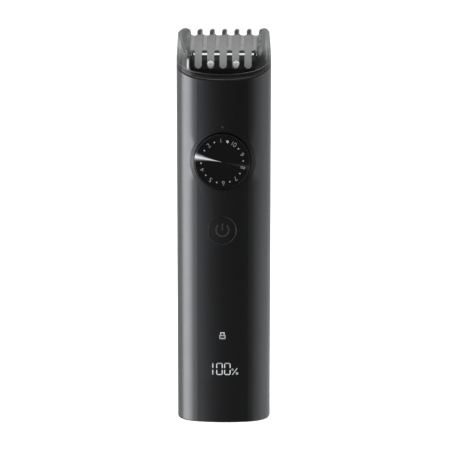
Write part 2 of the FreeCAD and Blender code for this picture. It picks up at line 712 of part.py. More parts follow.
def make_boards():
    """The main board with its parts, the display's reflector and the power switch."""
    back = "board_front + board_thickness"
    board = block("board_plate", ("-board_width / 2", "board_front", "board_bottom"),
                  ("board_width / 2", back, "board_top"))
    node(board, "main_board")
    chips = [block("chip_controller", ("-3.5", "board_front - 1", "52"), ("3.5", "board_front", "59")),
             block("chip_charger", ("-8", "board_front - 1", "62"), ("-4", "board_front", "66")),
             block("chip_driver", ("4", "board_front - 1.2", "62"), ("8.5", "board_front", "68")),
             block("connector", ("-4", back, "86"), ("4", back + " + 1.4", "90"))]
    node(group_of("chip_group", *chips), "board_components")
    lamps = [block("lamp_%d" % i, ("%s - 0.8" % x, "board_front - 0.8", "%s - 0.4" % z),
                   ("%s + 0.8" % x, "board_front", "%s + 0.4" % z))
             for i, (x, z) in enumerate((("-4.1", "23.1"), ("-1.25", "21.5"), ("-1.25", "24.9"),
                                         ("2.2", "21.5"), ("2.2", "24.9"), ("5.45", "21.8"),
                                         ("0", "37.2")))]
    node(group_of("lamp_group", *lamps), "display_lamps")
    make_reflector()
    switch = block("switch_can", ("-3", "board_front - 2", "button_height - 3"),
                   ("3", "board_front", "button_height + 3"))
    well = cylinder("switch_well", "1.8", "2", ("0", "board_front - 2", "button_height"), "y")
    floor = cylinder("switch_floor", "2.2", "0.8", ("0", "board_front - 0.8", "button_height"), "y")
    node(joined("switch_piece", cut("switch_open", switch, well), floor), "tact_switch")
    plunger = cylinder("plunger_piece", "1.5", "1.8", ("0", "board_front - 3", "button_height"), "y")
    node(plunger, "switch_plunger")


def make_reflector():
    """The white block that keeps the display's cells of light apart."""
    limit = oval_cone("reflector_limit", "wall + 0.05", "15", "45")
    blank = shared("reflector_blank", limit,
                   block("reflector_block", ("-8.5", "-19", "18.2"), ("8.5", "board_front", "42")))
    room = block("reflector_lamp_room", ("-7", "board_front - 1.2", "20"), ("7", "board_front + 1", "26.5"))
    lock_room = block("reflector_lock_room", ("-2", "board_front - 1.2", "35"),
                      ("2", "board_front + 1", "40"))
    node(cut("reflector_piece", cut("reflector_open", blank, room, lock_room),
             *light_pipe_bars("reflector")), "display_reflector")


# ---------------------------------------------------------------- power button

def make_button():
    """The push button: a curved cap with a stem, its symbol and its seal."""
    limit = oval_cone("button_limit", "0", "70", "95")
    cap = cylinder("button_cap_disc", "button_radius", "4.6", ("0", "-19", "button_height"), "y")
    stem = cylinder("button_stem", "1.6", "board_front - 3 + 17", ("0", "-17", "button_height"), "y")
    blank = joined("button_blank", shared("button_cap_curved", cap, limit), stem)
    symbol_tools = power_symbol("button_symbol_slot")
    node(cut("button_piece", blank, *symbol_tools), "power_button")
    pieces = [shared("power_symbol_%d" % i, tool, oval_cone("power_symbol_limit_%d" % i, "0", "70", "95"))
              for i, tool in enumerate(power_symbol("power_symbol"))]
    node(group_of("power_symbol_group", *pieces), "power_symbol")
    seal = cut("button_seal_ring",
               cylinder("button_seal_disc", "5.4", "0.6", ("0", "-13.7", "button_height"), "y"),
               cylinder("button_seal_hole", "1.6 + running_gap", "2", ("0", "-14.5", "button_height"), "y"))
    legs = cut("button_seal_wall",
               cylinder("button_seal_outer", "6.9", "board_front + 13.7",
                        ("0", "-13.7", "button_height"), "y"),
               cylinder("button_seal_inner", "5.4", "20", ("0", "-19", "button_height"), "y"))
    node(joined("button_seal_piece", seal, legs), "button_seal")


def power_symbol(name):
    """The open ring and the bar of a power symbol, as solids that cut the button's face."""
    depth = "1.6"
    start = "-18"
    outer = cylinder(name + "_outer", "2.95", depth, ("0", start, "symbol_height"), "y")
    inner = cylinder(name + "_inner", "2.4", "4", ("0", "-19", "symbol_height"), "y")
    gap = block(name + "_gap", ("-1.8", "-19", "symbol_height"), ("1.8", "-15", "symbol_height + 4"))
    line = block(name + "_line", ("-0.27", start, "symbol_height - 0.2"),
                 ("0.27", start + " + " + depth, "symbol_height + 2.7"))
    return [cut(name + "_ring", outer, inner, gap), line]


# ---------------------------------------------------------------- dial and cam

def make_dial():
    """The knurled dial, its disc, shaft, spiral cam and the parts that carry it."""
    axis = ("0", "dial_back", "dial_height")
    knob = serrated_knob()
    disc_hole = cylinder("dial_disc_hole", "disc_radius", "5",
                         ("0", "dial_front + disc_thickness - 5", "dial_height"), "y")
    hub_hole = cylinder("dial_hub_hole", "shaft_radius", "3", ("0", "dial_back - 2", "dial_height"), "y")
    node(cut("dial_knob_piece", knob, disc_hole, hub_hole), "dial_knob")
    node(cylinder("dial_disc_piece", "disc_radius", "disc_thickness",
                  ("0", "dial_front", "dial_height"), "y"),
         "dial_disc")
    shaft = cylinder("dial_shaft_rod", "shaft_radius", "cam_front - dial_back + 2",
                     ("0", "dial_back - 2", "dial_height"), "y")
    shaft_hole = cylinder("dial_shaft_hole", "screw_radius", "8", ("0", "cam_front - 6", "dial_height"), "y")
    node(cut("dial_shaft_piece", shaft, shaft_hole), "dial_shaft")
    bore = cylinder("dial_bush_bore", "shaft_radius + running_gap", "20", ("0", "-20", "dial_height"), "y")
    sleeve = cylinder("dial_bush_sleeve", "bush_radius", "4", ("0", "pocket_floor", "dial_height"), "y")
    flange = cylinder("dial_bush_flange", "bush_radius + 1.2", "0.8", ("0", "-11.8", "dial_height"), "y")
    seat = cylinder("dial_seal_seat", "shaft_radius + 1.1", "2.2",
                    ("0", "pocket_floor - 1", "dial_height"), "y")
    node(cut("dial_bush_piece", joined("dial_bush_blank", sleeve, flange), bore, seat), "dial_bush")
    seal = ring("dial_seal_piece", "shaft_radius + 0.57", "0.5",
                ("0", "pocket_floor + 0.6", "dial_height"), "y")
    node(seal, "dial_seal")
    make_cam()
    make_detent()


def serrated_knob():
    """The dial's body: turned with a chamfer, then cut by fine serrations all round."""
    body = new_body("dial_knob_body")
    sketch = new_sketch(body, "dial_knob_profile", "XY_Plane", "dial_height")
    draw(sketch, [("0", "dial_front"), ("dial_radius - dial_chamfer", "dial_front"),
                  ("dial_radius", "dial_front + dial_chamfer"), ("dial_radius", "dial_back"),
                  ("0", "dial_back")])
    turned = body.newObject("PartDesign::Revolution", "dial_knob_turned")
    turned.Profile = sketch
    turned.ReferenceAxis = (sketch, ["V_Axis"])
    turned.Angle = 360
    groove = new_sketch(body, "dial_serration", "XZ_Plane", "0")
    tip = "dial_height + dial_radius - serration_depth"
    mouth = "dial_height + dial_radius + 0.2"
    draw(groove, [("0", tip), ("0.42", mouth), ("-0.42", mouth)])
    notch = pocket(body, groove, "60", midplane=True)
    around = body.newObject("PartDesign::PolarPattern", "dial_serrations")
    around.Originals = [notch]
    hub = new_sketch(body, "dial_axis_line", "XY_Plane", "dial_height")
    hub.addGeometry(Part.LineSegment(Vector(0, -20, 0), Vector(0, -10, 0)), True)
    around.Axis = (hub, ["V_Axis"])
    around.Angle = 360
    bind(around, Occurrences="serration_count")
    body.Tip = around
    return body


def spiral_edge(offset, first, last, y):
    """One side of the spiral groove: the spiral moved sideways by an offset."""
    count = 48
    start = size("groove_start")
    growth = size("groove_pitch") / (2 * math.pi)
    low = math.radians(size("dial_low"))
    points = []
    for index in range(count + 1):
        angle = first + (last - first) * index / count
        radius = start + growth * (angle - low)
        slope = math.hypot(radius, growth)
        away = Vector(-math.sin(angle), 0, math.cos(angle))
        ahead = Vector(-math.cos(angle), 0, -math.sin(angle))
        normal = (away * radius - ahead * growth) / slope
        points.append(away * radius + normal * offset + Vector(0, y, size("dial_height")))
    curve = Part.BSplineCurve()
    curve.interpolate(points)
    return curve.toShape(), points[0], points[-1]


def spiral_groove():
    """The groove's solid: two spiral sides closed by short straight ends, then extruded."""
    run_out = 0.12
    first = math.radians(size("dial_low")) - 0.35
    last = math.radians(size("dial_high")) + run_out
    half = size("groove_width") / 2
    floor = size("cam_back - groove_depth")
    inner, inner_start, inner_end = spiral_edge(-half, first, last, floor)
    outer, outer_start, outer_end = spiral_edge(half, first, last, floor)
    outline = Part.Wire([inner, Part.LineSegment(inner_end, outer_end).toShape(), outer.reversed(),
                         Part.LineSegment(outer_start, inner_start).toShape()])
    feature = doc.addObject("Part::Feature", "cam_groove")
    feature.Shape = Part.Face(outline).extrude(Vector(0, size("groove_depth") + 1, 0))
    return feature


def make_cam():
    """The cam plate: a spiral groove behind, click notches round its edge, a screw in its middle."""
    plate = cylinder("cam_plate", "cam_radius", "cam_back - cam_front",
                     ("0", "cam_front", "dial_height"), "y")
    notches = []
    for index in range(int(size("detent_count"))):
        angle = math.radians(index * 360 / size("detent_count") + 180)
        notches.append(cylinder("cam_notch_%d" % index, "0.6", "5",
                                ("%.6f * cam_radius" % math.sin(angle), "cam_front - 1",
                                 "dial_height + %.6f * cam_radius" % math.cos(angle)), "y"))
    head_sink = cylinder("cam_screw_sink", "1.6", "3", ("0", "cam_back - 1.1", "dial_height"), "y")
    screw_way = cylinder("cam_screw_way", "screw_radius", "9", ("0", "cam_front - 1", "dial_height"), "y")
    node(cut("cam_piece", plate, spiral_groove(), head_sink, screw_way, *notches), "dial_cam")
    node(screw("cam_screw", ("0", "cam_back - 1.1", "dial_height"), "y", "1.6", "6", turned=True),
         "dial_screw")


def make_detent():
    """The leaf spring whose round nose clicks into the cam's notches from below."""
    tip = "dial_height - cam_radius"
    nose = cylinder("detent_nose", "0.5", "2", ("0", "cam_front + 0.3", tip + " - 0.05"), "y")
    leaf = block("detent_leaf", ("-9", "cam_front + 0.3", tip + " - 0.85"),
                 ("9", "cam_front + 2.3", tip + " - 0.45"))
    node(joined("detent_spring_piece", nose, leaf), "detent_spring")


# ---------------------------------------------------------------- carriage

def make_carriage():
    """The lifting yoke behind the cam: a cross plate with the follower pin and two arms."""
    pin_height = "dial_height + groove_start - groove_pitch * dial_low / 360"
    plate_back = "carriage_front + carriage_plate"
    plate = block("carriage_cross", ("-arm_outer", "carriage_front", "carriage_bottom"),
                  ("arm_outer", plate_back, "carriage_bottom + 8"))
    arms = []
    for side in ("-1", "1"):
        middle = "%s * (arm_inner + arm_outer) / 2" % side
        half = "(arm_outer - arm_inner) / 2"
        low_x, high_x = "%s - %s" % (middle, half), "%s + %s" % (middle, half)
        arms.append(block("carriage_foot_%s" % side, (low_x, "carriage_front", "carriage_bottom"),
                          (high_x, "arm_middle + arm_depth / 2", "carriage_bottom + 8")))
        arms.append(block("carriage_arm_%s" % side,
                          (low_x, "arm_middle - arm_depth / 2", "carriage_bottom"),
                          (high_x, "arm_middle + arm_depth / 2", "arm_top")))
    pin_hole = cylinder("carriage_pin_hole", "pin_radius", "6", ("0", "carriage_front - 2", pin_height), "y")
    node(cut("carriage_piece", joined("carriage_blank", plate, *arms), pin_hole), "lift_carriage")
    pin = cylinder("follower_rod", "pin_radius",
                   "groove_depth - 0.2 + carriage_plate + carriage_front - cam_back",
                   ("0", "cam_back - groove_depth + 0.2", pin_height), "y")
    node(pin, "follower_pin")


# ---------------------------------------------------------------- comb

def make_comb():
    """The clear guide comb: an oval skirt with two ears, seven arched fins and arm sockets."""
    skirt = shared("comb_skirt", comb_shell(), above_rim("comb_over_rim", "comb_gap"),
                   comb_side_view(), comb_front_view())
    opened = cut("comb_opened", skirt, comb_opening())
    sockets = []
    pockets = []
    for side in ("-1", "1"):
        middle = "%s * (arm_inner + arm_outer) / 2" % side
        sockets.append(block("comb_socket_%s" % side,
                             ("%s - 2" % middle, "arm_middle - arm_depth / 2 - 1.1", "154.2"),
                             ("%s + 2" % middle, "arm_middle + arm_depth / 2 + 1.1", "arm_top + 1.2")))
        pockets.append(block("comb_pocket_%s" % side,
                             ("%s - (arm_outer - arm_inner) / 2 - 0.05" % middle,
                              "arm_middle - arm_depth / 2 - 0.05", "140"),
                             ("%s + (arm_outer - arm_inner) / 2 + 0.05" % middle,
                              "arm_middle + arm_depth / 2 + 0.05", "arm_top + 0.1")))
    limit = comb_blank("comb_socket_limit", "0.2")
    inside = shared("comb_sockets", joined("comb_socket_pair", *sockets), limit)
    fins = shared("comb_fins", comb_fins(), comb_blank("comb_fin_limit", "0"))
    whole = joined("comb_blank", opened, inside, fins)
    node(cut("comb_piece", whole, *pockets), "comb")


def comb_blank(name, inset):
    """The comb's envelope: straight up to the shoulder, then narrowing."""
    body = new_body(name)
    low = oval_sketch(body, name + "_low", inset, "143")
    shoulder = oval_sketch(body, name + "_shoulder", inset, "comb_shoulder")
    top = oval_sketch(body, name + "_top", "comb_inset + (%s)" % inset, "comb_top")
    loft(body, "AdditiveLoft", low, shoulder, top)
    return body


def comb_shell():
    return cut("comb_shell", comb_blank("comb_outside", "0"), comb_blank("comb_inside", "comb_wall"))


def comb_side_view():
    """The skirt seen from the side: low collar in front, sweeping up and back over the ears."""
    body = new_body("comb_side")
    sketch = new_sketch(body, "comb_side_outline", "YZ_Plane")
    draw(sketch, [("-20", "140"), ("20", "140"), ("20", "158"), ("12", "ear_top", ("17.5", "163.6")),
                  ("2", "ear_top"), ("-14.2", "151", ("-9.4", "161.2")), ("-20", "150")])
    pad(body, sketch, "60", midplane=True)
    return body


def comb_front_view():
    """The skirt seen from the front: two rounded ears with the lower web between them."""
    body = new_body("comb_front")
    sketch = new_sketch(body, "comb_front_outline", "XZ_Plane")
    ear_inner, ear_outer = "ear_x - ear_radius", "ear_x + ear_radius"
    ear_side = "ear_top - ear_radius"
    draw(sketch, [("-22", "140"), ("22", "140"), ("22", "150"), (ear_outer, ear_side),
                  (ear_inner, ear_side, ("ear_x", "ear_top")), (ear_inner + " - 0.3", "web_top"),
                  ("-(%s) + 0.3" % ear_inner, "web_top"), ("-(%s)" % ear_inner, ear_side),
                  ("-(%s)" % ear_outer, ear_side, ("-ear_x", "ear_top")), ("-22", "150")])
    pad(body, sketch, "60", midplane=True)
    return body


def comb_opening():
    """The front opening above the collar, cut through the skirt's front only."""
    body = new_body("comb_window")
    sketch = new_sketch(body, "comb_window_outline", "XZ_Plane")
    collar_radius = "(rim_radius + comb_gap + collar_height)"
    low = "rim_centre_z + sqrt(%s ^ 2 - (body_depth / 2 + rim_centre_y) ^ 2)" % collar_radius
    side = "(%s) + 1.6" % low
    draw(sketch, [("opening_x", side, ("0", low)), ("opening_x", "comb_shoulder"),
                  ("opening_x + 3.4", "162"), ("opening_x + 3.4", "172"),
                  ("-opening_x - 3.4", "172"), ("-opening_x - 3.4", "162"),
                  ("-opening_x", "comb_shoulder"), ("-opening_x", side)])
    pad(body, sketch, "25")
    return body


def comb_fins():
    """Seven arched fins in one block: the side view padded across, then slotted."""
    body = new_body("comb_fin_block")
    sketch = new_sketch(body, "comb_fin_side", "YZ_Plane")
    draw(sketch, [("-7", "fin_end + 0.8"), ("-5.9", "156.2", ("-6.75", "153.4")),
                  ("4", "160.6", ("-2.0", "159.5")), ("13.4", "155.4", ("10.2", "158.8")),
                  ("14.6", "157"), ("14.2", "tip_top - 2.2"), ("10.6", "tip_top", ("13.4", "tip_top - 0.5")),
                  ("-7.6", "157", ("-1.3", "163.1")), ("-9", "fin_end", ("-8.6", "153.4"))])
    half = "(3 * fin_pitch + 0.34)"
    pad(body, sketch, "2 * " + half, midplane=True)
    slot = new_sketch(body, "comb_fin_slot", "XZ_Plane", "1")
    add_fin_slot(slot)
    low = pocket(body, slot, "40", backwards=True)
    row_of(body, low, slot, "fin_pitch", 6)
    valley = new_sketch(body, "comb_valley", "YZ_Plane", "-2.5 * fin_pitch")
    draw(valley, [("-14", "slot_top + 0.6"), ("-7.4", "slot_top + 0.6"), ("-3.2", "160.3"), ("0", "162.6"),
                  ("0", "170"), ("-14", "170")])
    groove = pocket(body, valley, "fin_slot * 0.9", midplane=True)
    row_of(body, groove, valley, "fin_pitch", 6, "N_Axis")
    notch = new_sketch(body, "comb_tip_notch", "XZ_Plane", "30")
    add_tip_notch(notch)
    high = pocket(body, notch, "60")
    row_of(body, high, notch, "fin_pitch", 6)
    return body


def row_of(body, feature, sketch, pitch, count, axis="H_Axis"):
    """Repeats a cut along one of the sketch's own axes and shows the result."""
    pattern = body.newObject("PartDesign::LinearPattern", feature.Name + "_row")
    pattern.Originals = [feature]
    pattern.Direction = (sketch, [axis])
    pattern.Occurrences = count
    bind(pattern, Length="%s * %d" % (pitch, count - 1))
    body.Tip = pattern
    return pattern


def add_fin_slot(sketch):
    """The gap between two fins: straight sides, flared round the fins' free ends below."""
    middle = "(-2.5 * fin_pitch)"
    left, right = middle + " - fin_slot / 2", middle + " + fin_slot / 2"
    edge = "fin_end + 2"
    draw(sketch, [(middle + " - fin_pitch / 2", "140"), (middle + " + fin_pitch / 2", "140"),
                  (middle + " + fin_pitch / 2", "fin_end"),
                  (right, edge, (middle + " + fin_slot / 2 + 0.45", "fin_end + 0.5")),
                  (right, "slot_top - 0.2"), (left, "slot_top - 0.2", (middle, "slot_top")), (left, edge),
                  (middle + " - fin_pitch / 2", "fin_end",
                   (middle + " - fin_slot / 2 - 0.45", "fin_end + 0.5"))])


def add_tip_notch(sketch):
    """The wide notch between two fin tips, rounded where it meets the web."""
    middle = "(-2.5 * fin_pitch)"
    half = "(fin_pitch - tip_width) / 2"
    draw(sketch, [(middle + " - " + half, "web_top + 0.8"),
                  (middle + " + " + half, "web_top + 0.8", (middle, "web_top")),
                  (middle + " + " + half, "tip_top - 0.6"),
                  (middle + " + fin_pitch / 2", "tip_top + 0.1",
                   (middle + " + " + half + " + 0.22", "tip_top - 0.12")),
                  (middle + " + fin_pitch / 2", "170"), (middle + " - fin_pitch / 2", "170"),
                  (middle + " - fin_pitch / 2", "tip_top + 0.1"),
                  (middle + " - " + half, "tip_top - 0.6",
                   (middle + " - " + half + " - 0.22", "tip_top - 0.12"))])


# ---------------------------------------------------------------- motor

def make_motor():
    """The motor with its end cap, terminals and screws, its shaft and the eccentric."""
    top = "motor_bottom + motor_length"
    can = cylinder("motor_can_drum", "motor_radius", "motor_length", ("0", "motor_y", "motor_bottom"))
    nose = cylinder("motor_nose", "3", "1.4", ("0", "motor_y", top))
    hollow = cylinder("motor_way", "motor_shaft_radius + running_gap", "40",
                      ("0", "motor_y", "motor_bottom - 5"))
    shaft_room = cylinder("motor_room", "motor_radius - 0.8", "motor_length - 0.8",
                          ("0", "motor_y", "motor_bottom"))
    holes = [cylinder("motor_screw_hole_%s" % side, "screw_radius", "6",
                      ("%s * 5.4" % side, "motor_y", top + " - 3")) for side in ("-1", "1")]
    node(cut("motor_can_piece", joined("motor_can_blank", can, nose), hollow, shaft_room, *holes),
         "motor_can")
    cap = cylinder("motor_cap_disc", "motor_radius - 0.8", "3", ("0", "motor_y", "motor_bottom - 1.5"))
    cap_way = cylinder("motor_cap_way", "motor_shaft_radius + running_gap", "40", ("0", "motor_y", "90"))
    node(cut("motor_cap_piece", cap, cap_way), "motor_end_cap")
    tabs = [block("motor_tab_%s" % side, ("%s * 4 - 0.9" % side, "motor_y - 0.15", "motor_bottom - 4"),
                  ("%s * 4 + 0.9" % side, "motor_y + 0.15", "motor_bottom - 1.5")) for side in ("-1", "1")]
    node(group_of("motor_tab_group", *tabs), "motor_terminals")
    screws = [screw("motor_screw_%d" % i, ("%s * 5.4" % side, "motor_y", top + " + frame_plate"), "z",
                    "1.9", "3.2", turned=True) for i, side in enumerate(("-1", "1"))]
    node(group_of("motor_screw_group", *screws), "motor_screws")
    armature = cylinder("motor_armature", "motor_radius - 1.6", "13", ("0", "motor_y", "motor_bottom + 3.5"))
    rod = cylinder("motor_rod", "motor_shaft_radius", "head_bottom + 6 - motor_bottom",
                   ("0", "motor_y", "motor_bottom"))
    node(joined("motor_shaft_piece", rod, armature), "motor_shaft")
    wheel = cylinder("eccentric_wheel", "3.2", "5", ("0", "motor_y", "head_bottom + 2.5"))
    pin_x = "throw"
    wheel_way = cylinder("eccentric_way", "motor_shaft_radius", "3.5", ("0", "motor_y", "head_bottom + 2.5"))
    pin_way = cylinder("eccentric_pin_way", "drive_pin_radius", "2", (pin_x, "motor_y", "head_bottom + 6.2"))
    node(cut("eccentric_piece", wheel, wheel_way, pin_way), "eccentric")
    node(cylinder("eccentric_pin_rod", "drive_pin_radius", "6.3", (pin_x, "motor_y", "head_bottom + 6.2")),
         "eccentric_pin")


# ---------------------------------------------------------------- cutting head

def make_head():
    """The black head on top of the housing: base, covers, blades, yoke, spring and screws."""
    make_head_base()
    make_covers()
    make_blades()
    make_yoke()
    screws = [screw("head_screw_%d" % i, ("%s * head_screw_x" % side, "cover_front", "head_screw_z"), "y",
                    "1.35", "6.7") for i, side in enumerate(("-1", "1"))]
    node(group_of("head_screw_group", *screws), "head_screws")
    node(make_gaskets("head_gasket", "wall + foot_inset * 0.12", "141.5", "142.5"), "head_gaskets")


def make_gaskets(name, inset, low, high):
    """Two rubber strips round the head base, one in front of the arms and one behind them."""
    outer = oval_prism(name + "_outer", inset, low, high)
    inner = oval_prism(name + "_inner", "head_inset + 0.5", "%s - 1" % low, "%s + 1" % high)
    return cut(name + "_ring", outer, inner, *arm_channels(name, low, high))


def arm_channels(name, low, high):
    """The two passages that the carriage's arms slide through."""
    play = "0.25"
    return [block("%s_channel_%s" % (name, side),
                  ("%s * (arm_inner + 4) - (4 + %s)" % (side, play), "arm_middle - arm_depth / 2 - " + play,
                   "%s - 1" % low),
                  ("%s * (arm_inner + 4) + (4 + %s)" % (side, play), "arm_middle + arm_depth / 2 + " + play,
                   "%s + 1" % high)) for side in ("-1", "1")]


def make_head_base():
    """The plug that closes the housing, with a tower for the blades and a room for the drive."""
    plug = oval_prism("head_plug", "head_inset", "head_bottom", "deck")
    tower = block("head_tower", ("-head_half_width", "-2", "deck - 1"), ("head_half_width", "8.8", "149.5"))
    groove = cut("head_groove",
                 oval_prism("head_groove_outer", "0", "141.5", "142.5"),
                 oval_prism("head_groove_inner", "head_inset + 0.5", "141", "143"))
    shoe = block("head_shoe", ("-head_half_width", "cover_front + 0.6", "deck - 1"),
                 ("head_half_width", "-2", "148.1"))
    drive_room = cylinder("head_drive_room", "3.6", "7", ("0", "motor_y", "head_bottom + 2.2"))
    shaft_way = cylinder("head_shaft_way", "motor_shaft_radius + 0.3", "20", ("0", "motor_y", "130"))
    pin_room = cylinder("head_pin_room", "2.6", "14", ("0", "motor_y", "head_bottom + 5"))
    posts = [block("head_post_%s" % side, ("%s * 5.5 - 1.7" % side, "0.1", "149"),
                   ("%s * 5.5 + 1.7" % side, "1.6", "154")) for side in ("-1", "1")]
    post_holes = [cylinder("head_post_hole_%s" % side, "screw_radius", "6",
                           ("%s * head_screw_x" % side, "-3", "head_screw_z"), "y") for side in ("-1", "1")]
    blank = joined("head_base_blank", plug, tower, shoe, *posts)
    channels = arm_channels("head", "head_bottom", "deck")
    node(cut("head_base_piece", blank, groove, drive_room, shaft_way, pin_room, *(channels + post_holes)),
         "head_base")


def make_covers():
    """The glossy cover that clamps the blades, and the cover behind them."""
    body = new_body("blade_cover_body")
    sketch = new_sketch(body, "blade_cover_side", "YZ_Plane")
    draw(sketch, [("cover_front + 0.6", "148.2"), ("cover_back", "148.2"), ("cover_back", "cover_top"),
                  ("cover_front + 1", "cover_top"), ("cover_front", "cover_top - 2.2"), ("cover_front",
                                                                                         "150")])
    pad(body, sketch, "2 * head_half_width", midplane=True)
    holes = [cylinder("cover_hole_%s" % side, "screw_radius", "9",
                      ("%s * head_screw_x" % side, "cover_front - 1",
                       "head_screw_z"), "y") for side in ("-1", "1")]
    node(cut("blade_cover_piece", body, *holes), "blade_cover")
    back = new_body("rear_cover_body")
    side = new_sketch(back, "rear_cover_side", "YZ_Plane")
    draw(side, [("8.9", "deck"), ("10.2", "deck"), ("10.2", "151"), ("2.4", "156", ("8", "155.2")),
                ("1.6", "156"), ("1.6", "155"), ("8.9", "150.4", ("6.6", "153.9"))])
    pad(back, side, "2 * head_half_width", midplane=True)
    node(back, "head_rear_cover")


def toothed_blade(name, half_width, back, front, low, top, count):
    """A steel strip standing on edge with a row of teeth along its top."""
    body = new_body(name)
    sketch = new_sketch(body, name + "_outline", "XZ_Plane", "-(%s)" % back)
    draw(sketch, [("-(%s)" % half_width, low), (half_width, low), (half_width, "%s - 0.5" % top),
                  ("%s - 0.5" % half_width, top), ("-(%s) + 0.5" % half_width, top),
                  ("-(%s)" % half_width, "%s - 0.5" % top)])
    pad(body, sketch, "(%s) - (%s)" % (back, front))
    gap = new_sketch(body, name + "_gap", "XZ_Plane", "-(%s) - 1" % back)
    middle = "(-%d * tooth_pitch)" % ((count - 1) // 2)
    draw(gap, [(middle + " - tooth_slot / 2", "%s - tooth_length" % top),
               (middle + " + tooth_slot / 2", "%s - tooth_length" % top),
               (middle + " + tooth_slot / 2 + 0.08", "%s + 0.5" % top),
               (middle + " - tooth_slot / 2 - 0.08", "%s + 0.5" % top)])
    slot = pocket(body, gap, "4", midplane=True)
    row_of(body, slot, gap, "tooth_pitch", count)
    return body


def make_blades():
    """The fixed blade in front and the moving blade just behind it."""
    fixed_back = "cover_back + blade_thickness"
    fixed = toothed_blade("fixed_blade_body", "blade_width / 2", fixed_back, "cover_back", "148.6",
                          "blade_top", 23)
    holes = [cylinder("fixed_blade_hole_%s" % side, "screw_radius", "9",
                      ("%s * head_screw_x" % side, "cover_front",
                       "head_screw_z"), "y") for side in ("-1", "1")]
    node(cut("fixed_blade_piece", fixed, *holes), "fixed_blade")
    moving_front = fixed_back + " + blade_gap"
    moving_back = moving_front + " + blade_thickness"
    moving = toothed_blade("moving_blade_body", "blade_width / 2 - 1.6", moving_back, moving_front, "150.4",
                           "blade_top - 0.3", 21)
    slots = [block("moving_blade_slot_%s" % side,
                   ("%s * head_screw_x - 2.2" % side, "-4", "head_screw_z - 1.3"),
                   ("%s * head_screw_x + 2.2" % side, "0", "head_screw_z + 1.3")) for side in ("-1", "1")]
    node(cut("moving_blade_piece", moving, *slots), "moving_blade")


def make_yoke():
    """The plastic driver behind the moving blade, with the slot that the eccentric pin works in."""
    front = "cover_back + 2 * blade_thickness + blade_gap"
    bridge = block("yoke_bridge", ("-10", front, "149.9"), ("10", front + " + 1.2", "154.6"))
    tongue = block("yoke_tongue", ("-2.9", front, "149.9"), ("2.9", "motor_y + 3", "151.9"))
    slot = block("yoke_slot", ("-(throw * 2 + drive_pin_radius + 0.1)", "motor_y - 1.9", "149"),
                 ("throw * 2 + drive_pin_radius + 0.1", "motor_y + 1.9", "153"))
    slots = [block("yoke_screw_slot_%s" % side,
                   ("%s * head_screw_x - 2.2" % side, "-4", "head_screw_z - 1.3"),
                   ("%s * head_screw_x + 2.2" % side, "1", "head_screw_z + 1.3")) for side in ("-1", "1")]
    node(cut("yoke_piece", joined("yoke_blank", bridge, tongue), slot, *slots), "cutter_yoke")
    coils = [ring("spring_coil_%d" % i, "1.1", "0.2", ("%s" % x, "3.6", "153.6"), "x")
             for i, x in enumerate(("-8.76", "-8.38", "-8", "8", "8.38", "8.76"))]
    bar_piece = cylinder("spring_bar", "0.2", "16", ("-8", "2.5", "153.6"), "x")
    node(joined("blade_spring_piece", bar_piece, *coils), "blade_spring")


def lead(label, x, turn_height, end_y):
    """A round lead that rises beside the board, bends back and runs to the motor."""
    body = new_body(label + "_body")
    start_y, start_z, bend = "-6.1 + 0.9", "90.5", "1.5"
    path = new_sketch(body, label + "_path", "YZ_Plane", x)
    points = [("%s" % start_y, start_z), ("%s" % start_y, "%s - %s" % (turn_height, bend)),
              ("%s + %s" % (start_y, bend), turn_height), (end_y, turn_height)]
    places = [Vector(size(y), size(z), 0) for y, z in points]
    middle = Vector(size("%s + %s * (1 - sqrt(0.5))" % (start_y, bend)),
                    size("%s - %s * (1 - sqrt(0.5))" % (turn_height, bend)), 0)
    path.addGeometry(Part.LineSegment(places[0], places[1]), False)
    path.addGeometry(Part.Arc(places[1], middle, places[2]), False)
    path.addGeometry(Part.LineSegment(places[2], places[3]), False)
    section = new_sketch(body, label + "_section", "XY_Plane", start_z)
    section.addGeometry(Part.Circle(Vector(size(x), size(start_y), 0), Vector(0, 0, 1), 0.45), False)
    pipe = body.newObject("PartDesign::AdditivePipe", label + "_pipe")
    pipe.Profile = section
    pipe.Spine = path
    return node(body, label)


def make_wires():
    """Red and black leads from the board's connector to the motor's terminals."""
    lead("motor_lead_red", "-4", "98.6", "2.5")
    lead("motor_lead_black", "4", "98.6", "2.5")


# ---------------------------------------------------------------- checks and files

def check_document():
    """Stops when an object failed, or a piece's shape is empty or not valid."""
    doc.recompute()
    failed = [obj.Name for obj in doc.Objects if {"Invalid", "Error"} & set(obj.State)]
    if failed:
        raise RuntimeError("failed objects: %s" % ", ".join(failed))
    for label, obj in nodes.items():
        if obj.Shape.isNull() or not obj.Shape.isValid():
            raise RuntimeError("bad shape: %s" % label)


def write_pieces():
    os.makedirs("parts", exist_ok=True)
    for label, obj in nodes.items():
        obj.Shape.exportStep("parts/%s.step" % label)


fill_sheet()
make_housing()
make_rim_trim()
make_light_pipes()
make_base()
make_frame()
make_battery()
make_boards()
make_button()
make_dial()
make_carriage()
make_comb()
make_motor()
make_head()
make_wires()
check_document()
write_pieces()
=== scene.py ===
"""Looks of the cordless beard trimmer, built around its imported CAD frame. Metres, +Z up, dial side -Y."""
import math

import bmesh
import bpy
from mathutils import Matrix, Vector


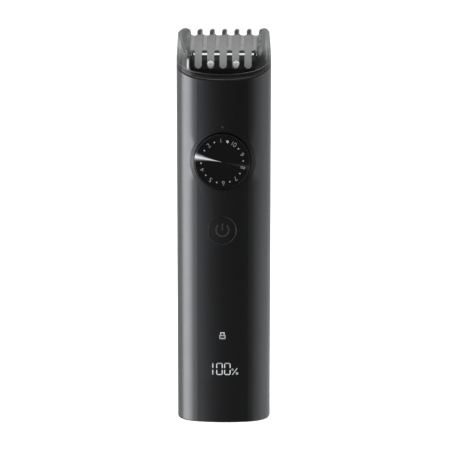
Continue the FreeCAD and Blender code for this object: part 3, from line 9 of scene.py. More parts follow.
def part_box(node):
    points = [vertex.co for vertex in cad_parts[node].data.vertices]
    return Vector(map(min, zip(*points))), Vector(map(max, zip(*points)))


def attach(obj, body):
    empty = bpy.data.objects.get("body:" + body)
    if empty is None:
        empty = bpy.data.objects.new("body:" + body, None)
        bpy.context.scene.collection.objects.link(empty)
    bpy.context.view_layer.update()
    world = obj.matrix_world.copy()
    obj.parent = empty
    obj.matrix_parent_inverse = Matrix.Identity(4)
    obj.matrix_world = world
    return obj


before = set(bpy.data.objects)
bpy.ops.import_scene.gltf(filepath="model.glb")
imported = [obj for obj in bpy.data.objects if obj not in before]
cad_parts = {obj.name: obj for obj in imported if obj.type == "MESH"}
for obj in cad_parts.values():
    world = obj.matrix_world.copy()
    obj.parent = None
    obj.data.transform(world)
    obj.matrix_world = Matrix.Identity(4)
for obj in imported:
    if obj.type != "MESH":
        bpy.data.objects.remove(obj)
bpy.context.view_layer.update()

MM = 0.001
MICRON = 0.001 * MM
TO_VIEWER = (0.0, -1.0, 0.0)
WHITE = (1.0, 1.0, 1.0)


# ---------------------------------------------------------------- node helpers

class Shader:
    """A material or world under construction: add() makes a node, inputs take numbers or nodes' outputs."""

    def __init__(self, name, world=False):
        self.owner = bpy.data.worlds.new(name) if world else bpy.data.materials.new(name)
        self.owner.use_nodes = True
        self.tree = self.owner.node_tree
        self.tree.nodes.clear()
        self.output = self.tree.nodes.new("ShaderNodeOutputWorld" if world else "ShaderNodeOutputMaterial")

    def plug(self, socket, value):
        """Connects a node's output to an input, or sets the input to a constant."""
        if isinstance(value, bpy.types.NodeSocket):
            self.tree.links.new(value, socket)
        elif socket.type == "RGBA":
            socket.default_value = (*value, 1.0)
        else:
            socket.default_value = value

    def add(self, kind, settings=None, **inputs):
        node = self.tree.nodes.new("ShaderNode" + kind)
        for name, value in (settings or {}).items():
            setattr(node, name, value)
        for name, value in inputs.items():
            self.plug(node.inputs[name.replace("_", " ")], value)
        return node

    def finish(self, surface):
        self.tree.links.new(surface, self.output.inputs["Surface"])
        return self.owner

    def mix_surfaces(self, factor, first, second):
        """One surface mixed into another."""
        mix = self.add("MixShader", Fac=factor)
        self.plug(mix.inputs[1], first.outputs[0])
        self.plug(mix.inputs[2], second.outputs[0])
        return mix

    def math(self, operation, a, b=0.0):
        node = self.add("Math", {"operation": operation})
        self.plug(node.inputs[0], a)
        self.plug(node.inputs[1], b)
        return node.outputs[0]

    def product(self, *values):
        result = values[0]
        for value in values[1:]:
            result = self.math("MULTIPLY", result, value)
        return result

    def distance(self, value, place):
        """How far a number is from another."""
        return self.math("ABSOLUTE", self.math("SUBTRACT", value, place))

    def vector(self, operation, a, b=(0.0, 0.0, 0.0)):
        node = self.add("VectorMath", {"operation": operation})
        self.plug(node.inputs[0], a)
        self.plug(node.inputs[1], b)
        return node.outputs["Value"] if operation in ("LENGTH", "DOT_PRODUCT") else node.outputs["Vector"]

    def spread(self, value, low, high, to_low=0.0, to_high=1.0, smooth=False):
        """Maps a value from one range to another, clamped."""
        node = self.add("MapRange", {"interpolation_type": "SMOOTHSTEP" if smooth else "LINEAR"}, Value=value,
                        From_Min=low, From_Max=high, To_Min=to_low, To_Max=to_high)
        return node.outputs["Result"]

    def rise(self, value, low, high):
        """Grows smoothly from 0 to 1 between two limits."""
        return self.spread(value, low, high, 0.0, 1.0, True)

    def fall(self, value, low, high):
        """Drops smoothly from 1 to 0 between two limits."""
        return self.spread(value, low, high, 1.0, 0.0, True)

    def mix_colour(self, factor, a, b):
        node = self.add("Mix", {"data_type": "RGBA"})
        for index, value in ((0, factor), (6, a), (7, b)):
            self.plug(node.inputs[index], value)
        return node.outputs[2]

    def place(self):
        """Where a point is in the piece's own frame, so that patterns move with the piece."""
        return self.add("TexCoord").outputs["Object"]

    def axes(self, vector):
        return self.add("SeparateXYZ", Vector=vector).outputs

    def noise(self, scale, detail=2.0, roughness=0.5, where=None):
        """Noise whose scale is in cells per metre of the piece."""
        place = where or self.place()
        node = self.add("TexNoise", Vector=place, Scale=scale, Detail=detail, Roughness=roughness)
        return node.outputs["Fac"]

    def bump(self, height, distance, strength=1.0, normal=None):
        node = self.add("Bump", Height=height, Distance=distance, Strength=strength)
        if normal is not None:
            self.plug(node.inputs["Normal"], normal)
        return node.outputs["Normal"]


def scaled(colour, factor):
    return tuple(channel * factor for channel in colour)


# ---------------------------------------------------------------- plastic, paint and metal

# Most of a noise's values lie in this range.
NOISE_RANGE = (0.3, 0.7)

# Cells of noise per metre, and what stretches them into scratches along one axis.
STEEL_SCRATCHES = 14000.0
ALONG_X = (0.04, 1.0, 1.0)
ALONG_Z = (1.0, 1.0, 0.04)
RINGS = 9000.0
RING_LEVELS = (0.75, 1.1)

# The painted highlight on the dial, a wedge of glow: where its lamp is, how wide it is at the centre and at
# the rim.
LEFT_LAMP = (-0.96, -0.26, 0.088)
WEDGE_WIDTH = (0.018, 0.052)
WEDGE_STRENGTH = 0.85
WEDGE_TINT = (0.97, 0.985, 1.0)
FAR_SIDE = 0.02
CENTRE_FADE = 0.4 * MM
FACE_ON = (0.3, 0.6)

# The blade's strip flashes with a painted highlight below the teeth's root; the lower part of the screw heads
# stays in painted shade.
TOOTH_ROOT = 156.5 * MM
TOOTH_FADE = 0.1 * MM
STRIP_FADE = 0.05 * MM
SCREW_SHADE = (151.8 * MM, 152.6 * MM)
SHADE_LEVEL = 0.15
FLASH = 0.55
FLASH_DIRECTION = (0.0, -0.99, 0.12)
FLASH_CONE = (0.7, 0.95)


def moulded_plastic(name, colour, roughness, grain=0.4, coat=0.0, shine=0.5):
    """Moulded plastic: slight colour drift, fine spark-erosion grain, faint handling wear."""
    s = Shader(name)
    lighter = tuple(min(1.0, channel * 1.25 + 0.004) for channel in colour)
    tint = s.mix_colour(s.spread(s.noise(180.0, 3.0), 0.35, 0.65), colour, lighter)
    rough = s.spread(s.noise(420.0, 4.0), *NOISE_RANGE, roughness * 0.85, min(1.0, roughness * 1.2))
    normal = s.bump(s.noise(9000.0, 3.0, 0.6), 20 * MICRON * grain, 0.5)
    shader = s.add("BsdfPrincipled", Base_Color=tint, Roughness=rough, Normal=normal,
                   Coat_Weight=coat, Coat_Roughness=0.06, Specular_IOR_Level=shine)
    return s.finish(shader.outputs[0])


def graphite_metal(name, colour=(0.105, 0.107, 0.112), roughness=0.27):
    """The tube's satin coat over metal flake: fine sparkle, soft orange peel, slight roughness drift."""
    s = Shader(name)
    flake = s.noise(16000.0, 2.0, 0.7)
    peel = s.noise(1500.0, 2.0)
    drift = s.noise(60.0, 3.0)
    tint = s.mix_colour(s.spread(flake, 0.35, 0.7), scaled(colour, 0.86), colour)
    rough = s.spread(drift, 0.35, 0.65, roughness * 0.94, roughness * 1.07)
    normal = s.bump(flake, 4 * MICRON, 0.35, s.bump(peel, 6 * MICRON, 0.25))
    shader = s.add("BsdfPrincipled", Base_Color=tint, Metallic=1.0, Roughness=rough, Normal=normal)
    return s.finish(shader.outputs[0])


def from_axis(s, place, centre):
    """The arm from the dial's axis to a point, in the plane of the dial."""
    return s.vector("MULTIPLY", s.vector("SUBTRACT", place, tuple(centre)), (1.0, 0.0, 1.0))


def spun_metal(name, centre, reach, colour=(0.04, 0.04, 0.042)):
    """Dark metal turned on a lathe. Its wedge of light is a painted highlight, a glow where ring-shaped
    grooves would flash.
    """
    s = Shader(name)
    radius = s.vector("LENGTH", from_axis(s, s.place(), centre))
    rings = s.add("TexNoise", {"noise_dimensions": "1D"}, W=s.math("MULTIPLY", radius, RINGS),
                  Scale=1.0, Detail=4.0, Roughness=0.75).outputs["Fac"]
    tint = s.mix_colour(rings, scaled(colour, 0.85), scaled(colour, 1.12))
    rough = s.spread(rings, *NOISE_RANGE, 0.4, 0.5)
    glow = s.product(groove_glint(s, centre, reach), s.spread(rings, *NOISE_RANGE, *RING_LEVELS))
    shader = s.add("BsdfPrincipled", Base_Color=tint, Metallic=1.0, Roughness=rough,
                   Normal=s.bump(rings, 1 * MICRON, 0.4), Emission_Color=WEDGE_TINT, Emission_Strength=glow)
    return s.finish(shader.outputs[0])


def groove_glint(s, centre, reach):
    """A painted highlight, strongest where the half-way direction between the left lamp and the eye lies
    across the grooves.
    """
    geometry = s.add("NewGeometry").outputs
    halfway = s.vector("NORMALIZE", s.vector("ADD", geometry["Incoming"], LEFT_LAMP))
    arm = from_axis(s, geometry["Position"], centre)
    along_groove = s.vector("NORMALIZE", s.vector("CROSS_PRODUCT", arm, (0.0, 1.0, 0.0)))
    width = s.spread(s.vector("LENGTH", arm), 0.0, reach, *WEDGE_WIDTH)
    off = s.math("DIVIDE", s.vector("DOT_PRODUCT", halfway, along_groove), width)
    wedge = s.math("EXPONENT", s.product(off, off, -1.0))
    side = s.spread(s.vector("DOT_PRODUCT", arm, LEFT_LAMP), -CENTRE_FADE, CENTRE_FADE, FAR_SIDE, 1.0, True)
    facing = s.spread(s.vector("DOT_PRODUCT", halfway, TO_VIEWER), *FACE_ON, 0.0, WEDGE_STRENGTH)
    return s.product(wedge, side, facing)


def brushed_steel(name, colour, roughness, stretch=ALONG_X):
    """Ground steel with scratches drawn out along one direction."""
    s = Shader(name)
    scratch = s.noise(STEEL_SCRATCHES, 3.0, 0.7, s.vector("MULTIPLY", s.place(), stretch))
    tint = s.mix_colour(s.spread(scratch, *NOISE_RANGE), scaled(colour, 0.8), colour)
    rough = s.spread(scratch, *NOISE_RANGE, roughness * 0.8, roughness * 1.25)
    shader = s.add("BsdfPrincipled", Base_Color=tint, Metallic=1.0, Roughness=rough,
                   Normal=s.bump(scratch, 3 * MICRON, 0.4))
    return s.finish(shader.outputs[0])


def polished_edge(name):
    """Ground steel. Strip and screw heads glow with a painted highlight, as if they caught a lamp above; the
    teeth are painted dark as painted shade.
    """
    s = Shader(name)
    scratch = s.noise(STEEL_SCRATCHES, 3.0, 0.7, s.vector("MULTIPLY", s.place(), (0.05, 1.0, 1.0)))
    height = s.axes(s.place())["Z"]
    tooth = s.rise(height, TOOTH_ROOT - TOOTH_FADE, TOOTH_ROOT + TOOTH_FADE)
    # Painted shade: the teeth above the root get a dark copy of the steel's colour.
    tint = s.mix_colour(tooth, (0.85, 0.85, 0.86), (0.1, 0.1, 0.105))
    strip = s.fall(height, TOOTH_ROOT - STRIP_FADE, TOOTH_ROOT + STRIP_FADE)
    lower = s.spread(height, *SCREW_SHADE, SHADE_LEVEL, 1.0, True)
    to_eye = s.add("NewGeometry").outputs["Incoming"]
    toward = s.spread(s.vector("DOT_PRODUCT", to_eye, FLASH_DIRECTION), *FLASH_CONE, 0.0, FLASH, True)
    flash = s.product(strip, lower, toward, s.spread(scratch, *NOISE_RANGE, 0.8, 1.1))
    rough = s.spread(scratch, *NOISE_RANGE, 0.24, 0.38)
    shader = s.add("BsdfPrincipled", Base_Color=tint, Metallic=0.5, Roughness=rough,
                   Normal=s.bump(scratch, 3 * MICRON, 0.4), Emission_Color=WHITE, Emission_Strength=flash)
    return s.finish(shader.outputs[0])


# ---------------------------------------------------------------- the smoked comb

# Where the comb's regions are. A pair holds the two places between which a region fades in or out.
FIN_PITCH = 5.26 * MM
FINS_SIDE = (13.8 * MM, 14.6 * MM)
FINS_FRONT = (-12.5 * MM, -10.5 * MM)
FINS_FOOT = (149.5 * MM, 153.5 * MM)
SCREW_PLACE = (5.4 * MM, 0.0, 152.2 * MM)
SCREW_WINDOW = (1.2 * MM, 2.2 * MM)
EAR_FOOT = (155.0 * MM, 160.5 * MM)
RIM_CENTRE = (0.0, 16.8 * MM, 87.4 * MM)
RIM_RADIUS = 67.2 * MM
COLLAR_TOP = (2.7 * MM, 3.0 * MM)
COLLAR_FRONT = (-3.0 * MM, 3.0 * MM)
COLLAR_LOWER_EDGE = (0.66 * MM, 0.86 * MM)
COLLAR_UPPER_EDGE = (2.38 * MM, 2.5 * MM)
GROOVE_FOOT = (157.5 * MM, 160.5 * MM)
TIP_BOTTOM = (163.8 * MM, 164.5 * MM)
TIP_TOP = (165.7 * MM, 166.1 * MM)
SMOKE_FOOT = (152.5 * MM, 160.0 * MM)
CORNER_X = -14.6 * MM
CORNER_Z = 152.4 * MM
CORNER_WIDTH = (0.15 * MM, 0.6 * MM)
CORNER_HEIGHT = (1.2 * MM, 2.8 * MM)
CORNER_FRONT = (-4.0 * MM, -3.0 * MM)

# The wave across the fins is 1 in a fin's middle and -1 half way to the next.
GROOVE_WAVE = (-0.35, -0.85)
TIP_WAVE = (0.5, 0.8)

# How misty or bright the regions are. FINS_MIST is the level at the fins' foot and higher up.
FINS_MIST = (0.7, 0.88)
WINDOW_LEVEL = 0.1
SKIRT_MIST = 0.02
EAR_MIST = 0.45
# Painted highlight: mist that draws light lines along the collar's edges.
COLLAR_EDGE_HIGHLIGHT = 0.3
CORNER_GLOW = 0.5

# Painted shade: the clear collar is tinted almost black.
COLLAR_SHADE_TINT = (0.012, 0.012, 0.013)
# The smoked tint, with painted shade low in the skirt and painted light towards the ears.
SKIRT_SMOKE_AND_SHADE = (0.07, 0.072, 0.075)
EAR_SMOKE_AND_LIGHT = ((0.26, 0.27, 0.28), (0.32, 0.33, 0.34))
# Painted light: nearly untinted plastic in front of the screws.
WINDOW_LIGHT_TINT = (0.95, 0.95, 0.95)
WEB_TINT = (0.185, 0.19, 0.185)
# Painted light: the web is paler between the fins.
GROOVE_LIGHT_TINT = (0.3, 0.305, 0.3)
# Painted shade: the fins' tips are tinted almost black.
TIP_SHADE_TINT = (0.012, 0.012, 0.012)
SHADOW_TINT = (0.93, 0.93, 0.93)
SKIRT_IOR = 1.33
PLASTIC_IOR = 1.49


def smoked_clear(name):
    """Smoked see-through plastic: clear in the thin skirt, misty in the fins and the web behind them. Its
    tints hold painted light and shade, and one corner has a painted glow.
    """
    s = Shader(name)
    axes = s.axes(s.place())
    window = screw_window(s, axes)
    above_rim = height_above_rim(s)
    # The collar's region, which carries its painted dark tint and its painted edge highlights.
    collar = s.product(s.fall(above_rim, *COLLAR_TOP), s.fall(axes["Y"], *COLLAR_FRONT))
    flow = s.noise(260.0, 3.0)
    normal = s.bump(s.noise(1400.0, 2.0), 12 * MICRON, 0.25)
    clear = s.add("BsdfPrincipled", Base_Color=clear_tint(s, axes, flow, collar, window),
                  Roughness=s.spread(s.noise(900.0, 3.0), *NOISE_RANGE, 0.02, 0.06), IOR=SKIRT_IOR,
                  Transmission_Weight=1.0, Normal=normal, Emission_Color=WHITE,
                  Emission_Strength=corner_streak(s, axes))
    cloudy = s.add("BsdfPrincipled", Base_Color=cloudy_tint(s, axes), Roughness=0.25, IOR=PLASTIC_IOR,
                   Normal=normal)
    mist = comb_mist(s, axes, flow, window, collar_edges(s, above_rim, collar))
    passing = s.add("BsdfTransparent", Color=SHADOW_TINT)
    shadow_ray = s.add("LightPath").outputs["Is Shadow Ray"]
    plastic = s.mix_surfaces(mist, clear, cloudy)
    return s.finish(s.mix_surfaces(shadow_ray, plastic, passing).outputs[0])


def among_fins(s, axes):
    """1 in the fins and the web behind them, 0 in the skirt and the ears."""
    return s.product(s.fall(s.math("ABSOLUTE", axes["X"]), *FINS_SIDE), s.rise(axes["Y"], *FINS_FRONT))


def screw_window(s, axes):
    """Nearly 0 in front of each screw, which is seen clearly, and 1 elsewhere. The window is painted light:
    clear, nearly untinted plastic through which the screw shows bright.
    """
    mirrored = s.add("CombineXYZ", X=s.math("ABSOLUTE", axes["X"]), Y=0.0, Z=axes["Z"]).outputs[0]
    away = s.vector("LENGTH", s.vector("SUBTRACT", mirrored, SCREW_PLACE))
    return s.spread(away, *SCREW_WINDOW, WINDOW_LEVEL, 1.0, True)


def height_above_rim(s):
    """Distance above the tube's rim, which is an arc seen from the side."""
    from_centre = s.vector("MULTIPLY", s.vector("SUBTRACT", s.place(), RIM_CENTRE), (0.0, 1.0, 1.0))
    return s.math("SUBTRACT", s.vector("LENGTH", from_centre), RIM_RADIUS)


def collar_edges(s, above_rim, collar):
    """Faint mist along the lower and the upper edge of the collar, as painted highlights: light lines over
    its dark tint.
    """
    lower = s.spread(above_rim, *COLLAR_LOWER_EDGE, COLLAR_EDGE_HIGHLIGHT, 0.0, True)
    upper = s.spread(above_rim, *COLLAR_UPPER_EDGE, 0.0, COLLAR_EDGE_HIGHLIGHT, True)
    return s.product(collar, s.math("ADD", lower, upper))


def comb_mist(s, axes, flow, window, edges):
    """How cloudy the plastic is: 0 is clear. The collar's edges are clouded as painted highlights."""
    fins = s.product(among_fins(s, axes), s.spread(axes["Z"], *FINS_FOOT, *FINS_MIST, True), window)
    ears = s.spread(axes["Z"], *EAR_FOOT, SKIRT_MIST, EAR_MIST, True)
    uneven = s.product(s.math("MAXIMUM", fins, ears), s.spread(flow, *NOISE_RANGE, 0.95, 1.05))
    return s.math("MAXIMUM", edges, uneven)


def clear_tint(s, axes, flow, collar, window):
    """Colour of the clear plastic: the smoked tint, painted dark in the collar and the skirt as painted
    shade, paler towards the ears as painted light, and nearly untinted in front of the screws as painted
    light.
    """
    pale = s.mix_colour(s.spread(flow, *NOISE_RANGE), *EAR_SMOKE_AND_LIGHT)
    smoke_light_and_shade = s.mix_colour(s.rise(axes["Z"], *SMOKE_FOOT), SKIRT_SMOKE_AND_SHADE, pale)
    # Painted light in front of the screws, painted shade in the collar.
    return s.mix_colour(window, WINDOW_LIGHT_TINT, s.mix_colour(collar, smoke_light_and_shade, COLLAR_SHADE_TINT))


def cloudy_tint(s, axes):
    """Colour of the misty plastic: paler in the slots between the fins as painted light, dark at the fins'
    tips as painted shade.
    """
    wave = s.math("COSINE", s.product(axes["X"], 2.0 * math.pi / FIN_PITCH))
    groove = s.product(s.rise(wave, *GROOVE_WAVE), s.rise(axes["Z"], *GROOVE_FOOT))
    tip = s.product(among_fins(s, axes), s.rise(wave, *TIP_WAVE), s.rise(axes["Z"], *TIP_BOTTOM),
                    s.fall(axes["Z"], *TIP_TOP))
    return s.mix_colour(tip, s.mix_colour(groove, WEB_TINT, GROOVE_LIGHT_TINT), TIP_SHADE_TINT)


def corner_streak(s, axes):
    """A short glow on the skirt's left corner, for the lamp that it would mirror."""
    return s.product(s.fall(s.distance(axes["X"], CORNER_X), *CORNER_WIDTH),
                     s.spread(s.distance(axes["Z"], CORNER_Z), *CORNER_HEIGHT, CORNER_GLOW, 0.0, True),
                     s.spread(axes["Y"], *CORNER_FRONT, 1.0, 0.0))


# ---------------------------------------------------------------- symbols, ink, rubber and boards

MASK_FADE = 0.1 * MM
LOCK_OUTLINE = 0.35 * MM
LOCK_HALF_WIDTH = 1.25 * MM
LOCK_FOOT = 0.35 * MM
LOCK_SHOULDER = 2.0 * MM
LOCK_CORNER = 0.4 * MM
LOCK_CORNER_FADE = 0.05 * MM
BREAK_HEIGHT = 0.5 * MM
BREAK_HALF_WIDTH = 0.03 * MM
BREAK_LEVEL = 0.25
TOP_BAR_LEVEL = 0.6
WAIST_HALF_WIDTH = 0.38 * MM
PERCENT_START = 3.72 * MM
LOWER_DOT = (6.2 * MM, 0.0, 21.22 * MM)
LOWER_DOT_HOLE = (0.2 * MM, 0.3 * MM)
LOWER_DOT_LEVELS = (0.1, 0.8)
UPPER_DOT = (4.3 * MM, 0.0, 22.9 * MM)
UPPER_DOT_REACH = (0.5 * MM, 0.6 * MM)
UPPER_DOT_LEVEL = 0.45


def lit_symbol(name, colour, strength, mask):
    """A light pipe's lit end: slightly uneven glow over a dark, satin surface, partly covered by a mask."""
    s = Shader(name)
    even = s.spread(s.noise(1200.0, 2.0), *NOISE_RANGE, strength * 0.85, strength * 1.1)
    shader = s.add("BsdfPrincipled", Base_Color=(0.03, 0.03, 0.03), Roughness=0.35,
                   Normal=s.bump(s.noise(6000.0), 4 * MICRON, 0.3),
                   Emission_Color=colour, Emission_Strength=s.product(even, mask(s)))
    return s.finish(shader.outputs[0])


def away_from(s, value, place, half_width, dark=0.0):
    """Dark in a band around one place, 1 elsewhere."""
    return s.spread(s.distance(value, place), half_width, half_width + MASK_FADE, dark, 1.0, True)


def padlock_mask(s):
    """Leaves a padlock's rounded outline lit on the light pipe's plain shape."""
    axes = s.axes(s.place())
    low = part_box("lock_symbol")[0].z
    middle = low + (LOCK_FOOT + LOCK_SHOULDER) / 2
    hole_height = (LOCK_SHOULDER - LOCK_FOOT) / 2 - LOCK_OUTLINE
    hole = s.math("MAXIMUM", away_from(s, axes["Z"], middle, hole_height),
                  away_from(s, axes["X"], 0.0, LOCK_HALF_WIDTH - LOCK_OUTLINE))
    across = s.math("ABSOLUTE", axes["X"])
    beyond = s.math("MAXIMUM", 0.0, s.math("SUBTRACT", across, LOCK_HALF_WIDTH - LOCK_CORNER))
    below = s.math("MAXIMUM", 0.0, s.math("SUBTRACT", low + LOCK_FOOT + LOCK_CORNER, axes["Z"]))
    corner = s.math("SQRT", s.math("ADD", s.product(beyond, beyond), s.product(below, below)))
    lit = s.spread(corner, LOCK_CORNER - LOCK_CORNER_FADE, LOCK_CORNER + LOCK_CORNER_FADE, 1.0, 0.0)
    return s.product(hole, lit)


def digits_mask(s):
    """Shades the digits' bars left of PERCENT_START and the percent sign's dots right of it."""
    right = s.spread(s.axes(s.place())["X"], PERCENT_START, PERCENT_START + MASK_FADE)
    left = s.math("SUBTRACT", 1.0, right)
    return s.math("ADD", s.product(percent_mask(s), right), s.product(bars_mask(s), left))


def bars_mask(s):
    """Faint breaks where the bars of a digit meet, a fainter top bar and a dark waist."""
    height = s.axes(s.place())["Z"]
    low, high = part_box("display_digits")
    lower_break = away_from(s, height, low.z + BREAK_HEIGHT, BREAK_HALF_WIDTH, BREAK_LEVEL)
    upper_break = away_from(s, height, high.z - BREAK_HEIGHT, BREAK_HALF_WIDTH, BREAK_LEVEL)
    top_foot = high.z - BREAK_HEIGHT
    top_bar = s.spread(height, top_foot, top_foot + MASK_FADE, 1.0, TOP_BAR_LEVEL)
    waist = away_from(s, height, (low.z + high.z) / 2, WAIST_HALF_WIDTH)
    return s.product(lower_break, upper_break, top_bar, waist)


def percent_mask(s):
    """A dark middle in the percent sign's lower dot, and a faint upper dot."""
    in_plane = s.vector("MULTIPLY", s.place(), (1.0, 0.0, 1.0))
    from_lower = s.vector("LENGTH", s.vector("SUBTRACT", in_plane, LOWER_DOT))
    from_upper = s.vector("LENGTH", s.vector("SUBTRACT", in_plane, UPPER_DOT))
    hollow = s.spread(from_lower, *LOWER_DOT_HOLE, *LOWER_DOT_LEVELS, True)
    faint = s.spread(from_upper, *UPPER_DOT_REACH, UPPER_DOT_LEVEL, 1.0, True)
    return s.product(hollow, faint)


def printed_ink(name, colour):
    """Pad-printed marks of slightly uneven darkness."""
    s = Shader(name)
    worn = s.mix_colour(s.spread(s.noise(5200.0, 3.0), 0.35, 0.7), scaled(colour, 0.85), colour)
    shader = s.add("BsdfPrincipled", Base_Color=worn, Roughness=0.42,
                   Normal=s.bump(s.noise(8000.0), 10 * MICRON, 0.3))
    return s.finish(shader.outputs[0])


def rubber(name, colour=(0.012, 0.012, 0.012)):
    """Matt rubber with a trace of dust."""
    s = Shader(name)
    dusty = tuple(channel + 0.02 for channel in colour)
    tint = s.mix_colour(s.spread(s.noise(700.0, 4.0), 0.45, 0.75), colour, dusty)
    shader = s.add("BsdfPrincipled", Base_Color=tint, Roughness=0.75,
                   Normal=s.bump(s.noise(5000.0, 4.0), 30 * MICRON, 0.5))
    return s.finish(shader.outputs[0])


def circuit_board(name):
    """Green solder mask with faint copper tracks under it."""
    s = Shader(name)
    tracks = s.add("TexBrick", Vector=s.place(), Scale=260.0, Mortar_Size=0.06).outputs["Fac"]
    tint = s.mix_colour(tracks, (0.01, 0.09, 0.035), (0.03, 0.17, 0.06))
    shader = s.add("BsdfPrincipled", Base_Color=tint, Roughness=0.38,
                   Normal=s.bump(tracks, 20 * MICRON, 0.4))
    return s.finish(shader.outputs[0])


# ---------------------------------------------------------------- materials on the CAD nodes

def dress(material, *names):
    """Gives CAD nodes a material."""
    for name in names:
        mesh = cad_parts[name].data
        mesh.materials.clear()
        mesh.materials.append(material)


def dress_outside():
    """The pieces that are seen when the trimmer is whole."""
    low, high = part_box("dial_disc")
    middle, reach = (low + high) / 2, (high.x - low.x) / 2
    gloss_black = moulded_plastic("head_gloss_black", (0.006, 0.006, 0.007), 0.14, 0.1, coat=0.6)
    satin_black = moulded_plastic("head_satin_black", (0.006, 0.006, 0.007), 0.5, 0.6, shine=0.15)
    dress(graphite_metal("graphite_tube"), "housing", "power_button")
    dress(spun_metal("dial_spun_metal", middle, reach), "dial_disc")
    dress(spun_metal("dial_knob_metal", middle, reach, (0.024, 0.024, 0.025)), "dial_knob")
    dress(smoked_clear("smoked_comb"), "comb")
    dress(gloss_black, "blade_cover", "head_rear_cover")
    dress(satin_black, "head_base", "rim_trim")
    dress(polished_edge("blade_steel"), "fixed_blade", "moving_blade", "head_screws")
    dress(lit_symbol("lit_digits", (0.93, 0.95, 0.97), 0.72, digits_mask), "display_digits")
    dress(lit_symbol("lit_lock", (0.84, 0.86, 0.88), 0.6, padlock_mask), "lock_symbol")
    dress(printed_ink("power_grey", (0.022, 0.022, 0.023)), "power_symbol")
    dress(moulded_plastic("base_matt_black", (0.007, 0.007, 0.008), 0.5), "base_cap")


def dress_inside():
    """The works inside the tube and the head, and the screws in its base."""
    screw_steel = brushed_steel("screw_steel", (0.72, 0.71, 0.7), 0.2)
    spring_steel = brushed_steel("spring_steel", (0.5, 0.5, 0.52), 0.3)
    plated_steel = brushed_steel("plated_can", (0.66, 0.64, 0.6), 0.3, ALONG_Z)
    acetal = moulded_plastic("acetal_white", (0.62, 0.62, 0.6), 0.35)
    dress(screw_steel, "base_screws", "dial_screw", "motor_screws", "follower_pin", "eccentric_pin",
          "dial_shaft", "motor_shaft")
    dress(spring_steel, "detent_spring", "blade_spring")
    dress(plated_steel, "motor_can", "usb_shell", "battery_tabs", "motor_terminals")
    dress(rubber("seal_rubber"), "base_seal", "button_seal", "dial_seal", "head_gaskets", "motor_lead_black")
    dress(rubber("red_insulation", (0.4, 0.015, 0.01)), "motor_lead_red")
    dress(moulded_plastic("frame_grey", (0.05, 0.05, 0.055), 0.55), "inner_frame", "lift_carriage")
    dress(acetal, "dial_cam", "dial_bush", "motor_end_cap", "eccentric", "cutter_yoke", "switch_plunger",
          "display_reflector", "display_lamps")
    dress(moulded_plastic("package_black", (0.02, 0.02, 0.022), 0.45), "board_components", "tact_switch",
          "usb_tongue")
    dress(moulded_plastic("cell_blue_wrap", (0.02, 0.07, 0.26), 0.28), "battery_cell")
    dress(circuit_board("solder_mask"), "main_board", "charge_board")


# ---------------------------------------------------------------- printed marks and the button's lip

PRINT_THICKNESS = 0.03 * MM
MARK_RADIUS = 8.85 * MM
NUMBER_HEIGHT = 2.0 * MM
LAST_NUMBER = 10
CAP_HEIGHT_OF_FONT = 0.73
LETTER_SPACING = 0.9
LETTER_THINNING = -0.03
FIRST_NUMBER_ANGLE = 3.25
NUMBER_STEP = 36.0
ZERO_DOT_ANGLE = -14.75
ZERO_DOT = 1.15 * MM
HALF_STEP_DOT = 0.6 * MM
INDEX_DOT = 0.85 * MM
INDEX_HEIGHT = 126.15 * MM

# The lip's section: distances out from the hole's edge and up from the wall.
LIP_PROFILE = ((0.0, -0.01 * MM), (0.2 * MM, 0.18 * MM), (0.25 * MM, 0.18 * MM), (0.28 * MM, -0.02 * MM))
LIP_STEPS = 96
BUTTON_GAP = 0.15 * MM
CLEAR_OF_EDGE = 0.05 * MM


def on_dial(centre, angle, radius):
    """A frame on the dial's face: its Z points at the viewer and its Y away from the dial's centre."""
    around = Matrix.Rotation(math.radians(-angle), 4, "Y")
    facing = Matrix.Rotation(math.radians(90.0), 4, "X")
    return Matrix.Translation(centre) @ around @ Matrix.Translation((0, 0, radius)) @ facing


def number_mesh(text, matrix):
    """A printed number as a mesh, its middle at the matrix's origin. The font is filled at a large size."""
    curve = bpy.data.curves.new("number", "FONT")
    curve.body = text
    curve.size = 1.0 / CAP_HEIGHT_OF_FONT
    curve.align_x = "CENTER"
    curve.align_y = "CENTER"
    curve.space_character = LETTER_SPACING
    curve.extrude = PRINT_THICKNESS / 2 / NUMBER_HEIGHT
    curve.offset = LETTER_THINNING
    obj = bpy.data.objects.new("number", curve)
    bpy.context.scene.collection.objects.link(obj)
    bpy.context.view_layer.update()
    mesh = bpy.data.meshes.new_from_object(obj.evaluated_get(bpy.context.evaluated_depsgraph_get()))
    bpy.data.objects.remove(obj)
    mesh.transform(matrix @ Matrix.Scale(NUMBER_HEIGHT, 4))
    return mesh


def add_dot(bm, matrix, diameter):
    bmesh.ops.create_cone(bm, cap_ends=True, segments=24, radius1=diameter / 2, radius2=diameter / 2,
                          depth=PRINT_THICKNESS, matrix=matrix)


def new_piece(name, bm, material, body):
    mesh = bpy.data.meshes.new(name)
    bm.to_mesh(mesh)
    bm.free()
    mesh.materials.append(material)
    piece = bpy.data.objects.new(name, mesh)
    bpy.context.scene.collection.objects.link(piece)
    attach(piece, body)


